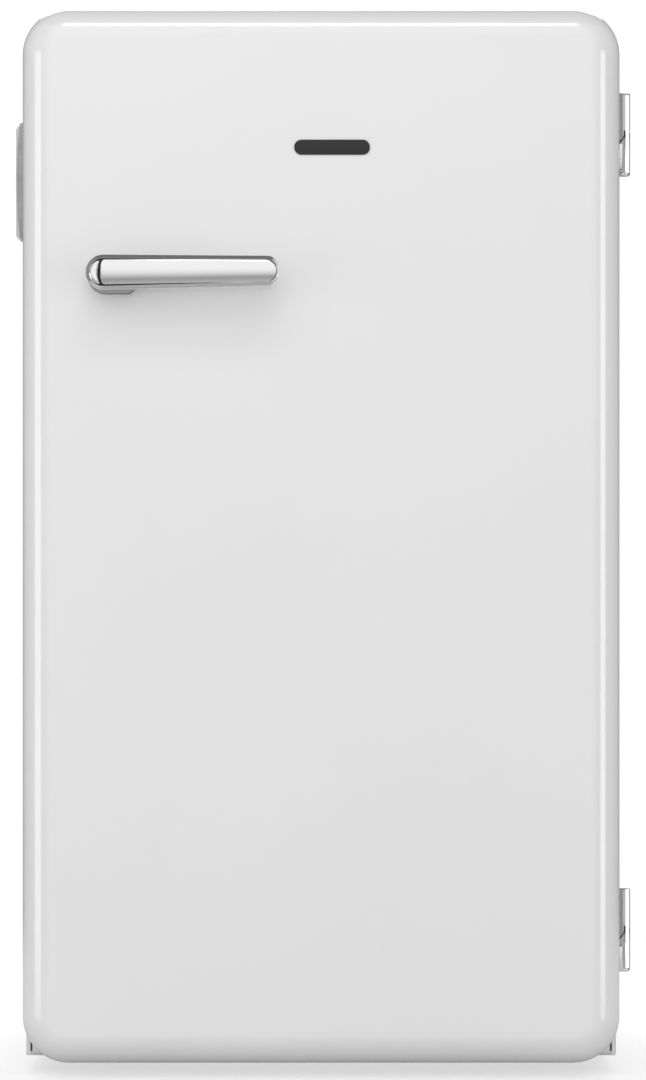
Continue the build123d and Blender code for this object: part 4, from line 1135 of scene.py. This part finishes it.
def floor_material():
    """Pale, slightly translucent floor that fades into the white away from the fridge."""
    mat = painted("floor_pale", (0.93, 0.93, 0.93), (0.91, 0.91, 0.91), (0.6, 0.7))
    tree = mat.node_tree
    where = node(tree, "ShaderNodeTexCoord")
    reach = node(tree, "ShaderNodeVectorMath", operation="LENGTH")
    tree.links.new(where.outputs["Object"], reach.inputs[0])
    fade = smooth_ramp(tree, reach.outputs["Value"], (0.7, 1.8), (0.6, 1.0))
    nothing = node(tree, "ShaderNodeBsdfTransparent")
    both = node(tree, "ShaderNodeMixShader")
    tree.links.new(fade, both.inputs["Fac"])
    tree.links.new(tree.nodes["Principled BSDF"].outputs["BSDF"], both.inputs[1])
    tree.links.new(nothing.outputs["BSDF"], both.inputs[2])
    tree.links.new(both.outputs["Shader"], tree.nodes["Material Output"].inputs["Surface"])
    return mat


def floor():
    """Flat floor a hair under the feet."""
    half = FLOOR_HALF
    mesh = bpy.data.meshes.new("floor")
    corners = [(-half, -half, 0), (half, -half, 0), (half, half, 0), (-half, half, 0)]
    mesh.from_pydata(corners, [], [(0, 1, 2, 3)])
    mesh.materials.append(floor_material())
    obj = bpy.data.objects.new("floor", mesh)
    obj.location.z = -FLOOR_DROP
    bpy.context.scene.collection.objects.link(obj)


def camera():
    """Long lens straight on, at the height of the fridge's middle."""
    data = bpy.data.cameras.new("camera")
    data.lens = CAMERA_LENS
    data.sensor_width = CAMERA_SENSOR
    data.clip_end = 200.0
    obj = bpy.data.objects.new("camera", data)
    obj.location = CAMERA_AT
    obj.rotation_euler = (math.radians(90), 0, 0)
    bpy.context.scene.collection.objects.link(obj)
    bpy.context.scene.camera = obj


def lights():
    """Soft lights on all sides; the key light and the floor's lights show in no reflection."""
    area_light("strip_left", (1.0, 1.3), (-2.0, -1.36, 0.45), LIGHT_TARGET, 8.0)
    area_light("strip_right", (0.7, 1.3), (1.75, -1.45, 0.45), LIGHT_TARGET, 6.6)
    area_light("strip_top", (0.75, 0.20), (0.0, -0.95, 1.75), (0.0, -0.22, 0.85), 2.0)
    key = area_light("key", (1.9, 1.3), (-0.45, -1.5, 1.4), (-0.05, -0.22, 0.75), 5.6)
    key.visible_glossy = False
    area_light("rear", (2.5, 1.5), (0.0, 2.6, 2.6), (0.0, 0.5, 0.0), 60)
    for side in (-1, 1):
        place_at, aim_at = (side * 1.0, 0.6, 0.7), (side * 0.35, 0.3, 0.0)
        fill = area_light("floor_fill", (0.8, 1.6), place_at, aim_at, 7)
        fill.visible_glossy = False


def studio():
    """Surroundings, floor, lights and plain colours."""
    studio_world()
    floor()
    lights()
    bpy.context.scene.view_settings.view_transform = "Standard"


paint_nodes()
door_skin()
door_liner()
door_gasket()
handle_grip()
handle_core()
handle_cover()
handle_end_cap()
handle_base()
hinge_halves()
hinge_screws()
back_screw_heads()
opener_screw_heads()
back_panel()
dial_marks()
groove_shade_strip()
opener_front()
flap_border()
soften_nodes()
studio()
camera()
